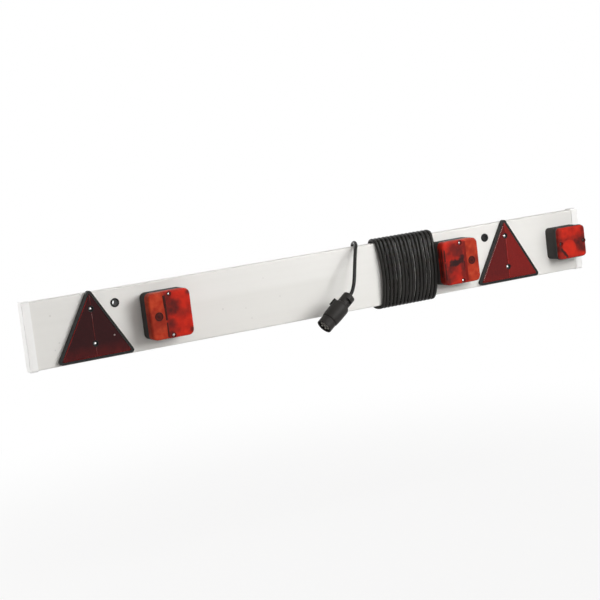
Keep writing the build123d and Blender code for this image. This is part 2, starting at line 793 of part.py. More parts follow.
def winding_outline(inset):
    """One turn of the winding seen along the plank, as its outer edge drawn in by an inset."""
    half = BOARD_HEIGHT / 2 + CABLE_D
    front_w = WINDING_FRONT_BOW + CABLE_D
    back_w = -BOARD_THICKNESS - WINDING_BACK_BOW - CABLE_D
    front_lean = front_w - WINDING_EDGE_GAP - CABLE_D
    back_lean = -back_w - BOARD_THICKNESS - WINDING_EDGE_GAP - CABLE_D
    with BuildSketch(mode=Mode.PRIVATE) as turn:
        with BuildLine():
            ThreePointArc((half, front_w - front_lean), (0, front_w), (-half, front_w - front_lean))
            Line((-half, front_w - front_lean), (-half, back_w + back_lean))
            ThreePointArc((-half, back_w + back_lean), (0, back_w), (half, back_w + back_lean))
            Line((half, back_w + back_lean), (half, front_w - front_lean))
        make_face()
        fillet(turn.vertices(), WINDING_CORNER_R)
        if inset:
            offset(amount=-inset, mode=Mode.REPLACE)
    return turn.sketch


def cable_winding():
    """The closed outer shape of the turns: one layer of cable that bows off the plank."""
    end = Plane(origin=face_point(WINDING_LEFT_U, 0, 0), x_dir=(0, 0, 1), z_dir=(1, 0, 0))
    with BuildPart() as winding:
        with BuildSketch(end):
            add(winding_outline(0))
            add(winding_outline(CABLE_D), mode=Mode.SUBTRACT)
        extrude(amount=WINDING_WIDTH)
    save(winding.part, "cable_winding")


def plug_planes():
    """The plug's own plane at its cable end, and the plane of its turned profile."""
    rear = cable_point(*PLUG_REAR)
    forward = (cable_point(*PLUG_FRONT) - rear).normalized()
    lug_side = face_point(*PLUG_LUG_SIDE) - face_point(0, 0, 0)
    sideways = (lug_side - forward * lug_side.dot(forward)).normalized()
    axial = Plane(origin=rear, x_dir=sideways, z_dir=forward)
    profile = Plane(origin=rear, x_dir=sideways, z_dir=-axial.y_dir)
    return axial, profile


def plug_pieces():
    """The seven-pin plug: cable clamp and its screws, body with barrel, contact carrier and pins."""
    axial, profile = plug_planes()
    axis = Axis(axial.origin, axial.z_dir)
    barrel_from = PLUG_LENGTH - PLUG_BARREL_LENGTH
    barrel_bore_r = PLUG_BARREL_R - PLUG_BARREL_WALL
    shoulder_top = PLUG_CLAMP_LENGTH + PLUG_SHOULDER
    ring_r = PLUG_BARREL_R - PLUG_RING_DEPTH
    ring_to = barrel_from + PLUG_RING_WIDTH
    floor = barrel_from + PLUG_FLOOR
    carrier_top = PLUG_LENGTH - CARRIER_RECESS
    lug_top = PLUG_BODY_R + PLUG_LUG_RISE
    across = axial.x_dir.rotate(axis, CLAMP_NOTCH_TURN)
    clamp_plane = Plane(origin=axial.origin, x_dir=across, z_dir=axial.z_dir).offset(CLAMP_SCREW_AT)
    notch_floor = PLUG_CLAMP_R - CLAMP_NOTCH_DEPTH
    screw_seats = [
        Plane(origin=clamp_plane.origin + way * notch_floor, x_dir=axial.z_dir, z_dir=way)
        for way in (clamp_plane.y_dir, -clamp_plane.y_dir)
    ]

    with BuildPart() as clamp:
        with BuildSketch(axial):
            Circle(PLUG_CLAMP_R)
        extrude(amount=PLUG_CLAMP_LENGTH)
        fillet(clamp.faces().sort_by(axis)[0].edges(), PLUG_CLAMP_EDGE_R)
        with BuildSketch(clamp_plane):
            with Locations((0, PLUG_CLAMP_R), (0, -PLUG_CLAMP_R)):
                Rectangle(2 * PLUG_CLAMP_R, 2 * CLAMP_NOTCH_DEPTH)
        extrude(amount=CLAMP_NOTCH_WIDTH / 2, both=True, mode=Mode.SUBTRACT)
        for seat in screw_seats:
            with BuildSketch(seat):
                Circle(CLAMP_SCREW[2] + SCREW_HOLE_CLEARANCE)
            extrude(amount=-CLAMP_SCREW_LENGTH, mode=Mode.SUBTRACT)
    save(clamp.part, "plug_clamp")
    screws = [screw(seat, CLAMP_SCREW, CLAMP_SCREW_LENGTH) for seat in screw_seats]
    save_group(screws, "plug_clamp_screws")

    with BuildPart() as body:
        with BuildSketch(profile):
            with BuildLine():
                Line((0, PLUG_CLAMP_LENGTH), (PLUG_NECK_R, PLUG_CLAMP_LENGTH))
                TangentArc(
                    (PLUG_BODY_R, shoulder_top), (PLUG_NECK_R, PLUG_CLAMP_LENGTH), tangent=(0, -1)
                )
                Polyline(
                    (PLUG_BODY_R, shoulder_top),
                    (PLUG_BODY_R, barrel_from),
                    (ring_r, barrel_from),
                    (ring_r, ring_to),
                    (PLUG_BARREL_R, ring_to),
                    (PLUG_BARREL_R, PLUG_LENGTH),
                    (barrel_bore_r, PLUG_LENGTH),
                    (barrel_bore_r, floor),
                    (0, floor),
                    (0, PLUG_CLAMP_LENGTH),
                )
            make_face()
        revolve(axis=axis)
        with BuildSketch(axial.offset(PLUG_LUG_FROM)):
            with Locations(((PLUG_LUG_ROOT_R + lug_top) / 2, 0)):
                Rectangle(lug_top - PLUG_LUG_ROOT_R, PLUG_LUG_WIDTH)
        extrude(amount=PLUG_LUG_LENGTH)
    save(body.part, "plug_body")

    ring_pins = PolarLocations(PIN_CIRCLE_R, OUTER_PINS).local_locations
    pin_points = [(0, 0)] + [pin.position for pin in ring_pins]
    with BuildPart() as carrier:
        with BuildSketch(axial.offset(floor)):
            Circle(barrel_bore_r - FIT_CLEARANCE)
        extrude(amount=carrier_top - floor)
        with BuildSketch(axial.offset(carrier_top)):
            with Locations(*pin_points):
                Circle(PIN_R)
        extrude(amount=-PIN_DEPTH, mode=Mode.SUBTRACT)
    save(carrier.part, "plug_contact_carrier")

    with BuildPart() as pins:
        with BuildSketch(axial.offset(carrier_top - PIN_DEPTH)):
            with Locations(*pin_points):
                Circle(PIN_R)
        extrude(amount=PIN_DEPTH + PIN_PROUD)
        with BuildSketch(axial.offset(carrier_top + PIN_PROUD)):
            with Locations(*pin_points):
                Circle(PIN_BORE_R)
        extrude(amount=-PIN_PROUD, mode=Mode.SUBTRACT)
    save(pins.part, "plug_pins")


os.makedirs("parts", exist_ok=True)
board()
for side in ENDS:
    end_cap(side)
    fixing_bush(side)
    reflector(side)
    rear_lamp_pieces(side)
fog_lamp_pieces()
reflector_screws()
lamp_screws([lamp for _, lamp in REAR_LAMPS.values()], "rear_lamp")
lamp_screws([FOG_LAMP], "fog_lamp")
cable_gland()
inner_leads()
cable_winding()
left_end = Plane(origin=face_point(WINDING_LEFT_U, 0, 0), z_dir=(-1, 0, 0))
right_end = Plane(origin=face_point(WINDING_RIGHT_U, 0, 0), z_dir=(1, 0, 0))
nose_end = gland_nose().offset(GLAND_NOSE)
plug_end = -plug_planes()[0]
cable_run(LEAD_IN_ROUTE, "cable_lead_in", [right_end, nose_end])
cable_run(TAIL_ROUTE, "cable_tail", [left_end, plug_end])
plug_pieces()
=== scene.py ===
import math
import random

import bmesh
import bpy
from mathutils import Matrix, Vector


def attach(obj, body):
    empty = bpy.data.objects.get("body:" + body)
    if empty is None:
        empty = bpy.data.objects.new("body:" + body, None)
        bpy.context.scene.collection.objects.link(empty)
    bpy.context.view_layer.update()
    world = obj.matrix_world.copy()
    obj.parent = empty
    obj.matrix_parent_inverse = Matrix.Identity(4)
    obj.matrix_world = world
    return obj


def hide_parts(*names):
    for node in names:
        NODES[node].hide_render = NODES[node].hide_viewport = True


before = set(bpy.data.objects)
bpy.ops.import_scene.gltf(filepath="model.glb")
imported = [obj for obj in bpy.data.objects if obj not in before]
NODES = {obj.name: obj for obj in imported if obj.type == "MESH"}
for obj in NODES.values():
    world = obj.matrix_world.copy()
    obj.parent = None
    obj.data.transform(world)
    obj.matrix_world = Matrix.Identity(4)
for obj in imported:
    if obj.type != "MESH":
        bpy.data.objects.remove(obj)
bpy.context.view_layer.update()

MM = 0.001

# The board's front face in the part's frame, in millimetres: u along, v up, w out of the face
FACE_U = 34.0
FACE_Y = -22.0
FACE_V = -40.0

# Which way is outwards at each end, where the middles and front faces of the lamps and reflectors lie,
# and the side and base of a reflector's triangle before its corners are rounded
OUTWARD = {"left": -1.0, "right": 1.0}
REAR_LAMP_U = {"left": -387.5, "right": 323.0}
REAR_LAMP_V = 1.4
REAR_LENS_W = 48.0
FOG_U = 629.0
FOG_LENS_W = 50.0
REFLECTOR_U = {"left": -544.5, "right": 472.5}
REFLECTOR_W = 9.0
REFLECTOR_SIDE = 171.0
REFLECTOR_LOW = -67.5

# Screws: their sizes, their places from the middle of the piece, their seats and the turns of their slots
REFLECTOR_SCREW = {"head_r": 4.2, "head_height": 2.4, "shank_r": 2.0, "length": 11.3, "slot": 1.1}
REFLECTOR_SCREW_V = (37.0, -35.0)
REFLECTOR_SCREW_W = 4.3
REFLECTOR_SLOT_TURNS = {"left": (0.9, 0.15), "right": (1.35, 1.2)}
REAR_SCREW = {"head_r": 3.4, "head_height": 1.8, "shank_r": 1.8, "length": 35.0, "slot": 0.9}
REAR_SCREW_V = (43.05, -43.05)
REAR_SCREW_W = 45.0
REAR_SLOT_TURNS = {"left": (1.3, 1.5), "right": (1.7, 1.4)}
FOG_SCREW = {"head_r": 3.4, "head_height": 1.8, "shank_r": 1.8, "length": 37.0, "slot": 0.9}
FOG_SCREW_U = (-32.3, 32.3)
FOG_SCREW_W = 47.0
FOG_SLOT_TURNS = (0.5, 2.2)
SLOT_DEPTH = 0.9

# Low bars on the lenses: the lamp, u from its middle and v on the board of both ends, width and height
BAR_SUNK = 0.2
LENS_JOINT_BARS = [
    ("left", (-12.2, 43.0), (-11.6, 17.0), 6.0, 0.5),
    ("left", (-11.6, 18.0), (-11.2, -9.0), 4.6, 0.5),
    ("left", (-11.2, -13.5), (-11.6, -44.5), 3.2, 0.5),
    ("right", (7.2, 2.0), (7.2, -14.0), 1.8, 0.5),
    ("right", (-43.0, 33.0), (-43.0, 7.0), 3.0, 0.4),
    ("right", (-43.0, 2.0), (-43.0, -35.0), 2.6, 0.4),
]
LENS_BAND_BARS = [("right", (11.0, 46.0), (11.0, -44.0), 6.0, 0.4)]
# Bars on the right lamp's left wall: w, upper and lower v from the lamp's middle, and width
WALL_BAR_U = -46.9
WALL_BAR_HEIGHT = 0.4
WALL_BARS = [(42.5, 34, 2, 3.2), (42.0, -6, -34, 2.4), (35.5, 12, -32, 3.6), (30.5, 35, 14, 3.6)]
BULLSEYE_OUT = 27.2
BULLSEYE_DOWN = 0.5

# The fog lamp's lip: its outer size and corners, its wall, and where it starts and how far it reaches
FOG_LIP_SIZE = (79.4, 75.4)
FOG_LIP_CORNER = 10.2
FOG_LIP_WALL = 1.3
FOG_LIP_W = 36.0
FOG_LIP_HEIGHT = 5.0

# The ridge down the middle of a reflector, in runs between its screws: upper and lower v
RIDGE_RUNS = [(66.0, 44.5), (29.5, -27.5), (-42.5, -61.5)]
RIDGE_HEIGHT = 0.5

# Cable: the lead-in and the tail repeat points of the part's source, with u from the winding's left end
CABLE_D = 8.0
WINDING_U = 133.0
LEAD_IN_ROUTE = [
    (160.88, 6.11, -29.14),
    (155.5, 18.6, -35.4),
    (149.6, 32.2, -37.2),
    (143.7, 45.8, -34.6),
    (137, 60.8, -28.6),
]
TAIL_ROUTE = [
    (-12, -24, -26.7),
    (-21, 0, -26.6),
    (-29.5, 24, -26.6),
    (-35.8, 42, -26.7),
    (-39.7, 55, -27.2),
    (-42, 66, -28.4),
    (-43.9, 74.3, -23.7),
    (-45.5, 78.3, -15),
    (-46.8, 78.3, -5),
    (-49.5, 74.5, 5.5),
    (-55.5, 67, 13.5),
    (-62.5, 57, 23),
    (-70.5, 44.5, 33.3),
    (-77.2, 29.5, 41.3),
    (-82.5, 13, 46.2),
    (-86.5, -2.3, 48.6),
    (-91.2, -13.4, 49.8),
    (-97.9, -22.8, 50.83),
    (-106, -28.5, 52),
]
# How far the hanging run, from the hook to just before the plug, lies left of that route
HANG_SHIFTS = [1.4, 1.7, 2.1, 2.3, 2.4, 2.7, 3.1, 3.0, 1.4]
# One turn of the winding as (v, w) points: up the back, over the top, down the front and under;
# the front's points bow out from the board by a share of the turn's own bow
TURN_BACK = [(-60, -27.4), (-31, -29.6), (0, -30.4), (31, -29.6), (60, -27.4)]
TURN_OVER = [(71.5, -26), (76, -18), (76, -5), (72.6, 4.4)]
TURN_FRONT = [62, 43, 15, -15, -43, -62]
TURN_UNDER = [(-71.4, 4.4), (-74.8, -5), (-74.8, -18), (-70.5, -26)]
# The last turn's way under the board and up to the tail, in place of all but the first point of TURN_UNDER
LAST_UNDER = [(-1.5, -74.8, -5), (-4.5, -74.8, -18), (-6.3, -70.5, -26), (-6.5, -60, -27.6), (-11, -43, -27.3)]
# Gaps between the turns from right to left, and where the first and last lie at three heights
TURN_GAPS = [9.9, 9.8, 9.6, 9.2, 9.2, 9.9, 9.2, 9.7, 9.3, 9.5, 9.2, 9.9, 9.4, 9.0]
FIRST_TURN_U = {"top": 141.5, "middle": 138.2, "bottom": 133.0}
LAST_TURN_U = {"top": 0.5, "middle": 7.4, "bottom": 1.0}
# Where the turns reach the board's edges and touch its face, and how they bow and sway on its front
TURN_EDGE_V = 72
TURN_TOUCH_W = 4.4
TURN_BOW = (19.5, 11.0)
TURN_BOW_PLAY = 2.0
TURN_BOW_FULLNESS = 0.8
TURN_SWAY = 0.7

# The plug's two ends on its axis, and the way towards its lug
PLUG_REAR = (27.0, -28.5, 52.0)
PLUG_FRONT = (-49.4, -82.5, 63.0)
PLUG_LUG_SIDE = (-0.576, 0.722, -0.383)
# The clamp's two notches along the plug's axis, their floor from the axis, and how they are turned about it
NOTCH_START = 12.75
NOTCH_END = 20.25
NOTCH_FLOOR = 8.0
NOTCH_TURN = math.radians(-40)
CLAMP_RIDGE_TURN = math.radians(-18)
PIN_COUNT = 6
PIN_CIRCLE_R = 9
PIN_Z = 87.0

# Marks on the board's front: u, v, reach and strength
BOARD_MARKS = [
    (-629.2, 35.9, 2.6, 0.22),
    (-617.4, -21.6, 3.0, 0.18),
    (-627.9, -35.2, 2.4, 0.2),
    (-251.1, -13.5, 2.6, 0.2),
    (-197.7, -20.3, 2.2, 0.16),
    (-186.7, -44.0, 2.4, 0.18),
    (-149.2, 36.9, 2.2, 0.16),
    (-114.4, -8.0, 2.4, 0.18),
]
# The board's painted sheen, paler above and darker below: the heights between which it comes in, and where it starts
# and ends along the board
PAINTED_SHEEN_V = (6, 22)
PAINTED_SHEEN_START_U = (-400, -310)
PAINTED_SHEEN_END_U = (-10, 90)
# A pale speck on the left reflector
REFLECTOR_MARKS = [(-501.8, -24.3, 2.6, 0.8)]
# Painted shade in the lenses where bulbs, holders and ribs lie behind: u and v from the lamp's middle,
# but v on the board for the amber ones, then reach and strength
LEFT_PAINTED_SHADE = [
    (7.0, 19.0, 21, 0.82),
    (4.0, 5.0, 13, 0.55),
    (0.0, -18.0, 15, 0.5),
    (-6.0, 36.0, 14, 0.7),
    (-6.0, 22.0, 14, 0.5),
    (-6.5, 6.0, 14, 0.65),
    (-6.0, -12.0, 14, 0.45),
    (-6.0, -26.0, 14, 0.55),
    (-6.0, -40.0, 13, 0.75),
    (6.0, -34.0, 14, 0.4),
    (16.0, 1.0, 16, 0.45),
    (30.0, 1.0, 13, 0.35),
    (42.0, 4.0, 14, 0.35),
    (43.0, 41.0, 9, 0.8),
    (43.5, -38.0, 9, 0.8),
]
RIGHT_PAINTED_SHADE = [
    (-14.0, 0.0, 78, 0.3),
    (-16.0, 30.0, 25, 0.62),
    (-2.0, 26.0, 17, 0.6),
    (5.0, 38.0, 12, 0.5),
    (4.0, 10.0, 15, 0.62),
    (5.0, -11.0, 14, 0.68),
    (4.0, -26.0, 14, 0.55),
    (3.0, -40.0, 12, 0.5),
    (-43.0, 18.0, 12, 0.45),
    (-43.0, -2.0, 13, 0.55),
    (-42.0, -20.0, 17, 0.6),
    (-41.0, -38.0, 17, 0.62),
    (-30.0, -33.0, 17, 0.4),
    (-28.0, -13.0, 13, 0.62),
    (-16.0, -12.0, 13, 0.4),
]
FOG_PAINTED_SHADE = [
    (0.0, 0.0, 95, 0.1),
    (22.0, -5.0, 23, 0.76),
    (12.0, -1.0, 11, 0.5),
    (25.0, -17.0, 15, 0.4),
    (34.0, 9.0, 14, 0.6),
    (34.0, -20.0, 13, 0.55),
    (34.0, 27.0, 13, 0.5),
    (20.0, 13.0, 13, 0.4),
    (-23.0, 5.0, 12, 0.36),
    (-10.0, 7.0, 12, 0.38),
    (4.0, 7.5, 12, 0.45),
    (-37.0, 26.0, 13, 0.5),
    (-37.0, 8.0, 13, 0.6),
    (-37.0, -11.0, 15, 0.78),
    (-31.0, -26.0, 13, 0.5),
]
LEFT_AMBER_PAINTED_SHADE = [
    (-42.0, -12.0, 34, 0.42),
    (-20.0, -14.0, 22, 0.4),
    (-18.0, 12.0, 13, 0.3),
    (-34.0, 10.0, 14, 0.25),
]
RIGHT_AMBER_PAINTED_SHADE = [
    (27.0, 0.0, 85, 0.25),
    (40.0, 2.0, 13, 0.5),
    (14.0, 28.0, 11, 0.4),
    (14.0, -6.0, 14, 0.4),
    (13.0, -38.0, 11, 0.45),
    (31.0, 24.0, 12, 0.25),
]
# A pale disc of painted light in the fog lens: u, v, reach and strength
FOG_PAINTED_GLOW = [(-10.0, -11.2, 20.0, 0.55)]
# Dark marks of painted shade where ribs and wires lie close behind the lens
RIGHT_PAINTED_SHADE_MARKS = [
    (-25.0, 0.0, 10.5, 0.94),
    (-17.0, -0.5, 11, 0.95),
    (-9.0, 0.0, 11, 0.95),
    (-1.5, 2.5, 10.5, 0.92),
    (1.5, 10.0, 9, 0.85),
    (-29.0, 23.0, 7, 0.5),
    (-31.0, -8.0, 6, 0.5),
]
FOG_WIRE_SHADE_LINE = [
    (-31.0, -13.0),
    (-29.5, -16.5),
    (-27.5, -19.5),
    (-25.0, -22.5),
    (-22.5, -25.5),
    (-20.0, -28.5),
    (-18.5, -31.5),
]
FOG_PAINTED_SHADE_MARKS = [(u, v, 4.6, 0.85) for u, v in FOG_WIRE_SHADE_LINE]

CAMERA_PLACE = (-1.5483, -3.1149, 0.3704)
CAMERA_RIGHT = (0.8848, -0.4502, -0.1202)
CAMERA_UP = (0.1635, 0.0584, 0.9848)
CAMERA_LENS = 95.80
CAMERA_SENSOR = 36.0

FLOOR_Z = -0.62
FLOOR_REACH = 12.0
WORLD_TINT = (1.0, 0.95, 0.91)
WORLD_LIGHT = 0.24
# Lamps: name, place, target, size, power and beam in degrees
LAMPS = [
    ("key light", (1.0, -2.0, 0.6), (-0.78, 0.0, -0.05), (1.4, 1.0), 4.15, 47.0),
    ("right light", (0.42, -1.9, 0.5), (0.68, 0.0, -0.05), (0.8, 0.6), 1.15, 44.0),
    ("middle light", (0.6, -1.75, 0.9), (0.5, 0.0, -0.05), (0.8, 0.6), 2.0, 80.0),
    ("top light", (0.1, -1.5, 1.9), (0.0, 0.0, -0.05), (2.2, 0.9), 9.0, 180.0),
    ("end light", (-1.0, 0.12, 0.0), (-0.65, 0.0, -0.04), (0.2, 0.2), 0.95, 180.0),
    ("back light", (0.05, 2.2, 0.25), (0.25, 0.0, -0.04), (2.4, 0.8), 9.5, 180.0),
]


def place(u, v, w):
    """A point given on the board's front face, in the part's frame, in metres."""
    return Vector(((u + FACE_U) * MM, (FACE_Y - w) * MM, (v + FACE_V) * MM))


def face_seat(u, v, w, turn=0.0):
    """A seat on the front face: its own x along u, y along v and z out, in millimetres."""
    axes = Matrix(((1, 0, 0), (0, 0, -1), (0, 1, 0))).to_4x4()
    return Matrix.Translation(place(u, v, w)) @ axes @ Matrix.Rotation(turn, 4, "Z") @ Matrix.Scale(MM, 4)


def wall_seat(u, v, w):
    """A seat on a lamp's left wall: its own x down, y out of the board and z to the left."""
    axes = Matrix(((0, 0, -1), (0, -1, 0), (-1, 0, 0))).to_4x4()
    return Matrix.Translation(place(u, v, w)) @ axes @ Matrix.Scale(MM, 4)


def plug_seat():
    """The plug's seat: z along its axis from the cable end, x towards its lug."""
    rear = place(*PLUG_REAR)
    forward = (place(*PLUG_FRONT) - rear).normalized()
    lug = place(*PLUG_LUG_SIDE) - place(0, 0, 0)
    sideways = (lug - forward * lug.dot(forward)).normalized()
    axes = Matrix((sideways, forward.cross(sideways), forward)).transposed().to_4x4()
    return Matrix.Translation(rear) @ axes @ Matrix.Scale(MM, 4)


def node(tree, kind, **settings):
    """A new shader node with its settings."""
    made = tree.nodes.new(kind)
    for name, value in settings.items():
        setattr(made, name, value)
    return made


def new_material(name):
    """A new material, its node tree and its shader."""
    material = bpy.data.materials.new(name)
    material.use_nodes = True
    tree = material.node_tree
    return material, tree, tree.nodes["Principled BSDF"]


def feed(tree, socket, value):
    """Sets a socket from a number, a colour or another socket."""
    if isinstance(value, bpy.types.NodeSocket):
        tree.links.new(value, socket)
    elif isinstance(value, tuple) and len(socket.default_value) == 4:
        socket.default_value = (*value, 1.0)
    else:
        socket.default_value = value


def calculate(tree, operation, *values):
    """A math node on sockets or numbers."""
    made = node(tree, "ShaderNodeMath", operation=operation)
    for socket, value in zip(made.inputs, values):
        feed(tree, socket, value)
    return made.outputs[0]


def vector_step(tree, operation, *values):
    """A vector math node on sockets or vectors."""
    made = node(tree, "ShaderNodeVectorMath", operation=operation)
    for socket, value in zip(made.inputs, values):
        feed(tree, socket, value)
    return made.outputs["Value" if operation == "LENGTH" else "Vector"]


def blend_colours(tree, amount, first, second):
    """A colour that goes from the first to the second by a mask."""
    made = node(tree, "ShaderNodeMix", data_type="RGBA")
    feed(tree, made.inputs["Factor"], amount)
    feed(tree, made.inputs[6], first)
    feed(tree, made.inputs[7], second)
    return made.outputs[2]


def spread(tree, value, low, high, start=0.0, end=1.0, smooth=False):
    """A value spread between two numbers."""
    made = node(tree, "ShaderNodeMapRange", interpolation_type="SMOOTHSTEP" if smooth else "LINEAR")
    for label, part in (("Value", value), ("From Min", start), ("From Max", end), ("To Min", low), ("To Max", high)):
        feed(tree, made.inputs[label], part)
    return made.outputs["Result"]


def noise(tree, where, scale, detail=3.0):
    """A noise texture on a vector."""
    made = node(tree, "ShaderNodeTexNoise")
    feed(tree, made.inputs["Vector"], where)
    feed(tree, made.inputs["Scale"], scale)
    feed(tree, made.inputs["Detail"], detail)
    return made.outputs["Fac"]


def object_place(tree):
    """The place on the object, in the part's frame."""
    return node(tree, "ShaderNodeTexCoord").outputs["Object"]


def axes_of(tree, where):
    """A place's three coordinates."""
    made = node(tree, "ShaderNodeSeparateXYZ")
    feed(tree, made.inputs[0], where)
    return made.outputs


def new_group(name, inputs, outputs):
    """An empty shader node group with named inputs and outputs."""
    group = bpy.data.node_groups.new(name, "ShaderNodeTree")
    for label, kind, value in inputs:
        group.interface.new_socket(label, in_out="INPUT", socket_type=kind).default_value = value
    for label in outputs:
        group.interface.new_socket(label, in_out="OUTPUT", socket_type="NodeSocketFloat")
    return group, group.nodes.new("NodeGroupInput").outputs, group.nodes.new("NodeGroupOutput").inputs


def use_group(tree, group, **values):
    """A group placed in a material with its own values."""
    made = node(tree, "ShaderNodeGroup", node_tree=group)
    for label, value in values.items():
        made.inputs[label].default_value = value
    return made.outputs


def make_grain():
    """Moulded grain: a fine height for bump, and a tone that drifts over the surface."""
    group, given, result = new_group(
        "moulded grain",
        [("Scale", "NodeSocketFloat", 900.0), ("Drift", "NodeSocketFloat", 14.0)],
        ["Height", "Tone"],
    )
    where = object_place(group)
    feed(group, result["Height"], noise(group, where, given["Scale"]))
    feed(group, result["Tone"], noise(group, where, given["Drift"], 4.0))
    return group


def make_spot():
    """A slightly ragged round mask on the face: 1 up to its core, a share of its reach, and 0 beyond the reach."""
    group, given, result = new_group(
        "soft spot",
        [
            ("Centre", "NodeSocketVector", (0, 0, 0)),
            ("Reach", "NodeSocketFloat", 0.01),
            ("Ragged", "NodeSocketFloat", 0.7),
            ("Core", "NodeSocketFloat", 0.25),
        ],
        ["Mask"],
    )
    where = object_place(group)
    across = vector_step(group, "MULTIPLY", vector_step(group, "SUBTRACT", where, given["Centre"]), (1, 0, 1))
    far = calculate(group, "DIVIDE", vector_step(group, "LENGTH", across), given["Reach"])
    swing = calculate(group, "SUBTRACT", noise(group, where, 110.0, 4.0), 0.5)
    ragged = calculate(group, "MULTIPLY_ADD", swing, given["Ragged"], far)
    feed(group, result["Mask"], spread(group, ragged, 1.0, 0.0, given["Core"], 1.0, True))
    return group


GRAIN = make_grain()
SPOT = make_spot()


def shaded(tree, colour, spots, shade, ragged=0.7, core=0.25):
    """A colour with spots of a shade: u, v, reach and strength of each."""
    for u, v, reach, strength in spots:
        spot = use_group(tree, SPOT, Centre=place(u, v, 0), Reach=reach * MM, Ragged=ragged, Core=core)
        colour = blend_colours(tree, calculate(tree, "MULTIPLY", spot["Mask"], strength), colour, shade)
    return colour


def relief(tree, shader, height, strength, distance):
    """Bump from a height."""
    made = node(tree, "ShaderNodeBump")
    made.inputs["Strength"].default_value = strength
    made.inputs["Distance"].default_value = distance
    tree.links.new(height, made.inputs["Height"])
    tree.links.new(made.outputs["Normal"], shader.inputs["Normal"])


def moulded(name, dark, light, rough, grain=900.0, drift=14.0, bump=0.1, shine=0.2, metal=False):
    """A moulded plastic, rubber or metal finish: drifting tone, grain bump and uneven gloss."""
    material, tree, shader = new_material(name)
    surface = use_group(tree, GRAIN, Scale=grain, Drift=drift)
    feed(tree, shader.inputs["Base Color"], blend_colours(tree, surface["Tone"], dark, light))
    feed(tree, shader.inputs["Roughness"], spread(tree, surface["Tone"], *rough))
    relief(tree, shader, surface["Height"], bump, 0.0004)
    shader.inputs["Specular IOR Level"].default_value = shine
    shader.inputs["Metallic"].default_value = 1.0 if metal else 0.0
    return material


def board_finish():
    """White extruded plastic: faint streaks along it, painted sheen that makes it paler above and darker below left of
    the winding, and dirty marks.
    """
    material, tree, shader = new_material("white board")
    where = object_place(tree)
    streaks = noise(tree, vector_step(tree, "MULTIPLY", where, (2.0, 30.0, 110.0)), 1.0, 2.0)
    surface = use_group(tree, GRAIN, Scale=1200.0, Drift=5.0)
    tone = calculate(tree, "MULTIPLY_ADD", streaks, 0.45, calculate(tree, "MULTIPLY", surface["Tone"], 0.55))
    axes = axes_of(tree, where)
    rises = [place(0, v, 0)[2] for v in PAINTED_SHEEN_V]
    starts = [place(u, 0, 0)[0] for u in PAINTED_SHEEN_START_U]
    ends = [place(u, 0, 0)[0] for u in PAINTED_SHEEN_END_U]
    # Painted sheen and shade: paler above and darker below a height, only left of the winding
    band = spread(tree, axes["Z"], -0.22, 0.38, *rises, True)
    start = spread(tree, axes["X"], 0.0, 1.0, *starts, True)
    end = spread(tree, axes["X"], 1.0, 0.0, *ends, True)
    band = calculate(tree, "MULTIPLY", band, calculate(tree, "MULTIPLY", start, end))
    shade = calculate(tree, "ADD", tone, band)
    colour = blend_colours(tree, shade, (0.750, 0.742, 0.712), (0.808, 0.802, 0.777))
    colour = shaded(tree, colour, BOARD_MARKS, (0.12, 0.11, 0.10), 0.3)
    feed(tree, shader.inputs["Base Color"], colour)
    feed(tree, shader.inputs["Roughness"], spread(tree, tone, 0.34, 0.48))
    relief(tree, shader, surface["Height"], 0.03, 0.0004)
    shader.inputs["Specular IOR Level"].default_value = 0.3
    return material


def lens_finish(name, deep, bright, spots, shade, through, discs=(), marks=()):
    """Coloured lens plastic, part see-through: mottled, with painted shade, pale discs of painted light and dark marks
    of painted shade where things lie behind.
    """
    material, tree, shader = new_material(name)
    surface = use_group(tree, GRAIN, Scale=330.0, Drift=70.0)
    tone = spread(tree, surface["Tone"], 0.0, 1.0, 0.3, 0.7)
    # Painted shade spots, pale discs of painted light in the bright colour, and dark marks of painted shade
    colour = shaded(tree, blend_colours(tree, tone, deep, bright), spots, shade)
    colour = shaded(tree, colour, discs, bright, ragged=0.15, core=0.84)
    colour = shaded(tree, colour, marks, shade, ragged=1.2, core=0.4)
    feed(tree, shader.inputs["Base Color"], colour)
    feed(tree, shader.inputs["Roughness"], spread(tree, surface["Tone"], 0.16, 0.30))
    relief(tree, shader, surface["Height"], 0.12, 0.0006)
    shader.inputs["Transmission Weight"].default_value = through
    shader.inputs["IOR"].default_value = 1.45
    shader.inputs["Specular IOR Level"].default_value = 0.02
    return material


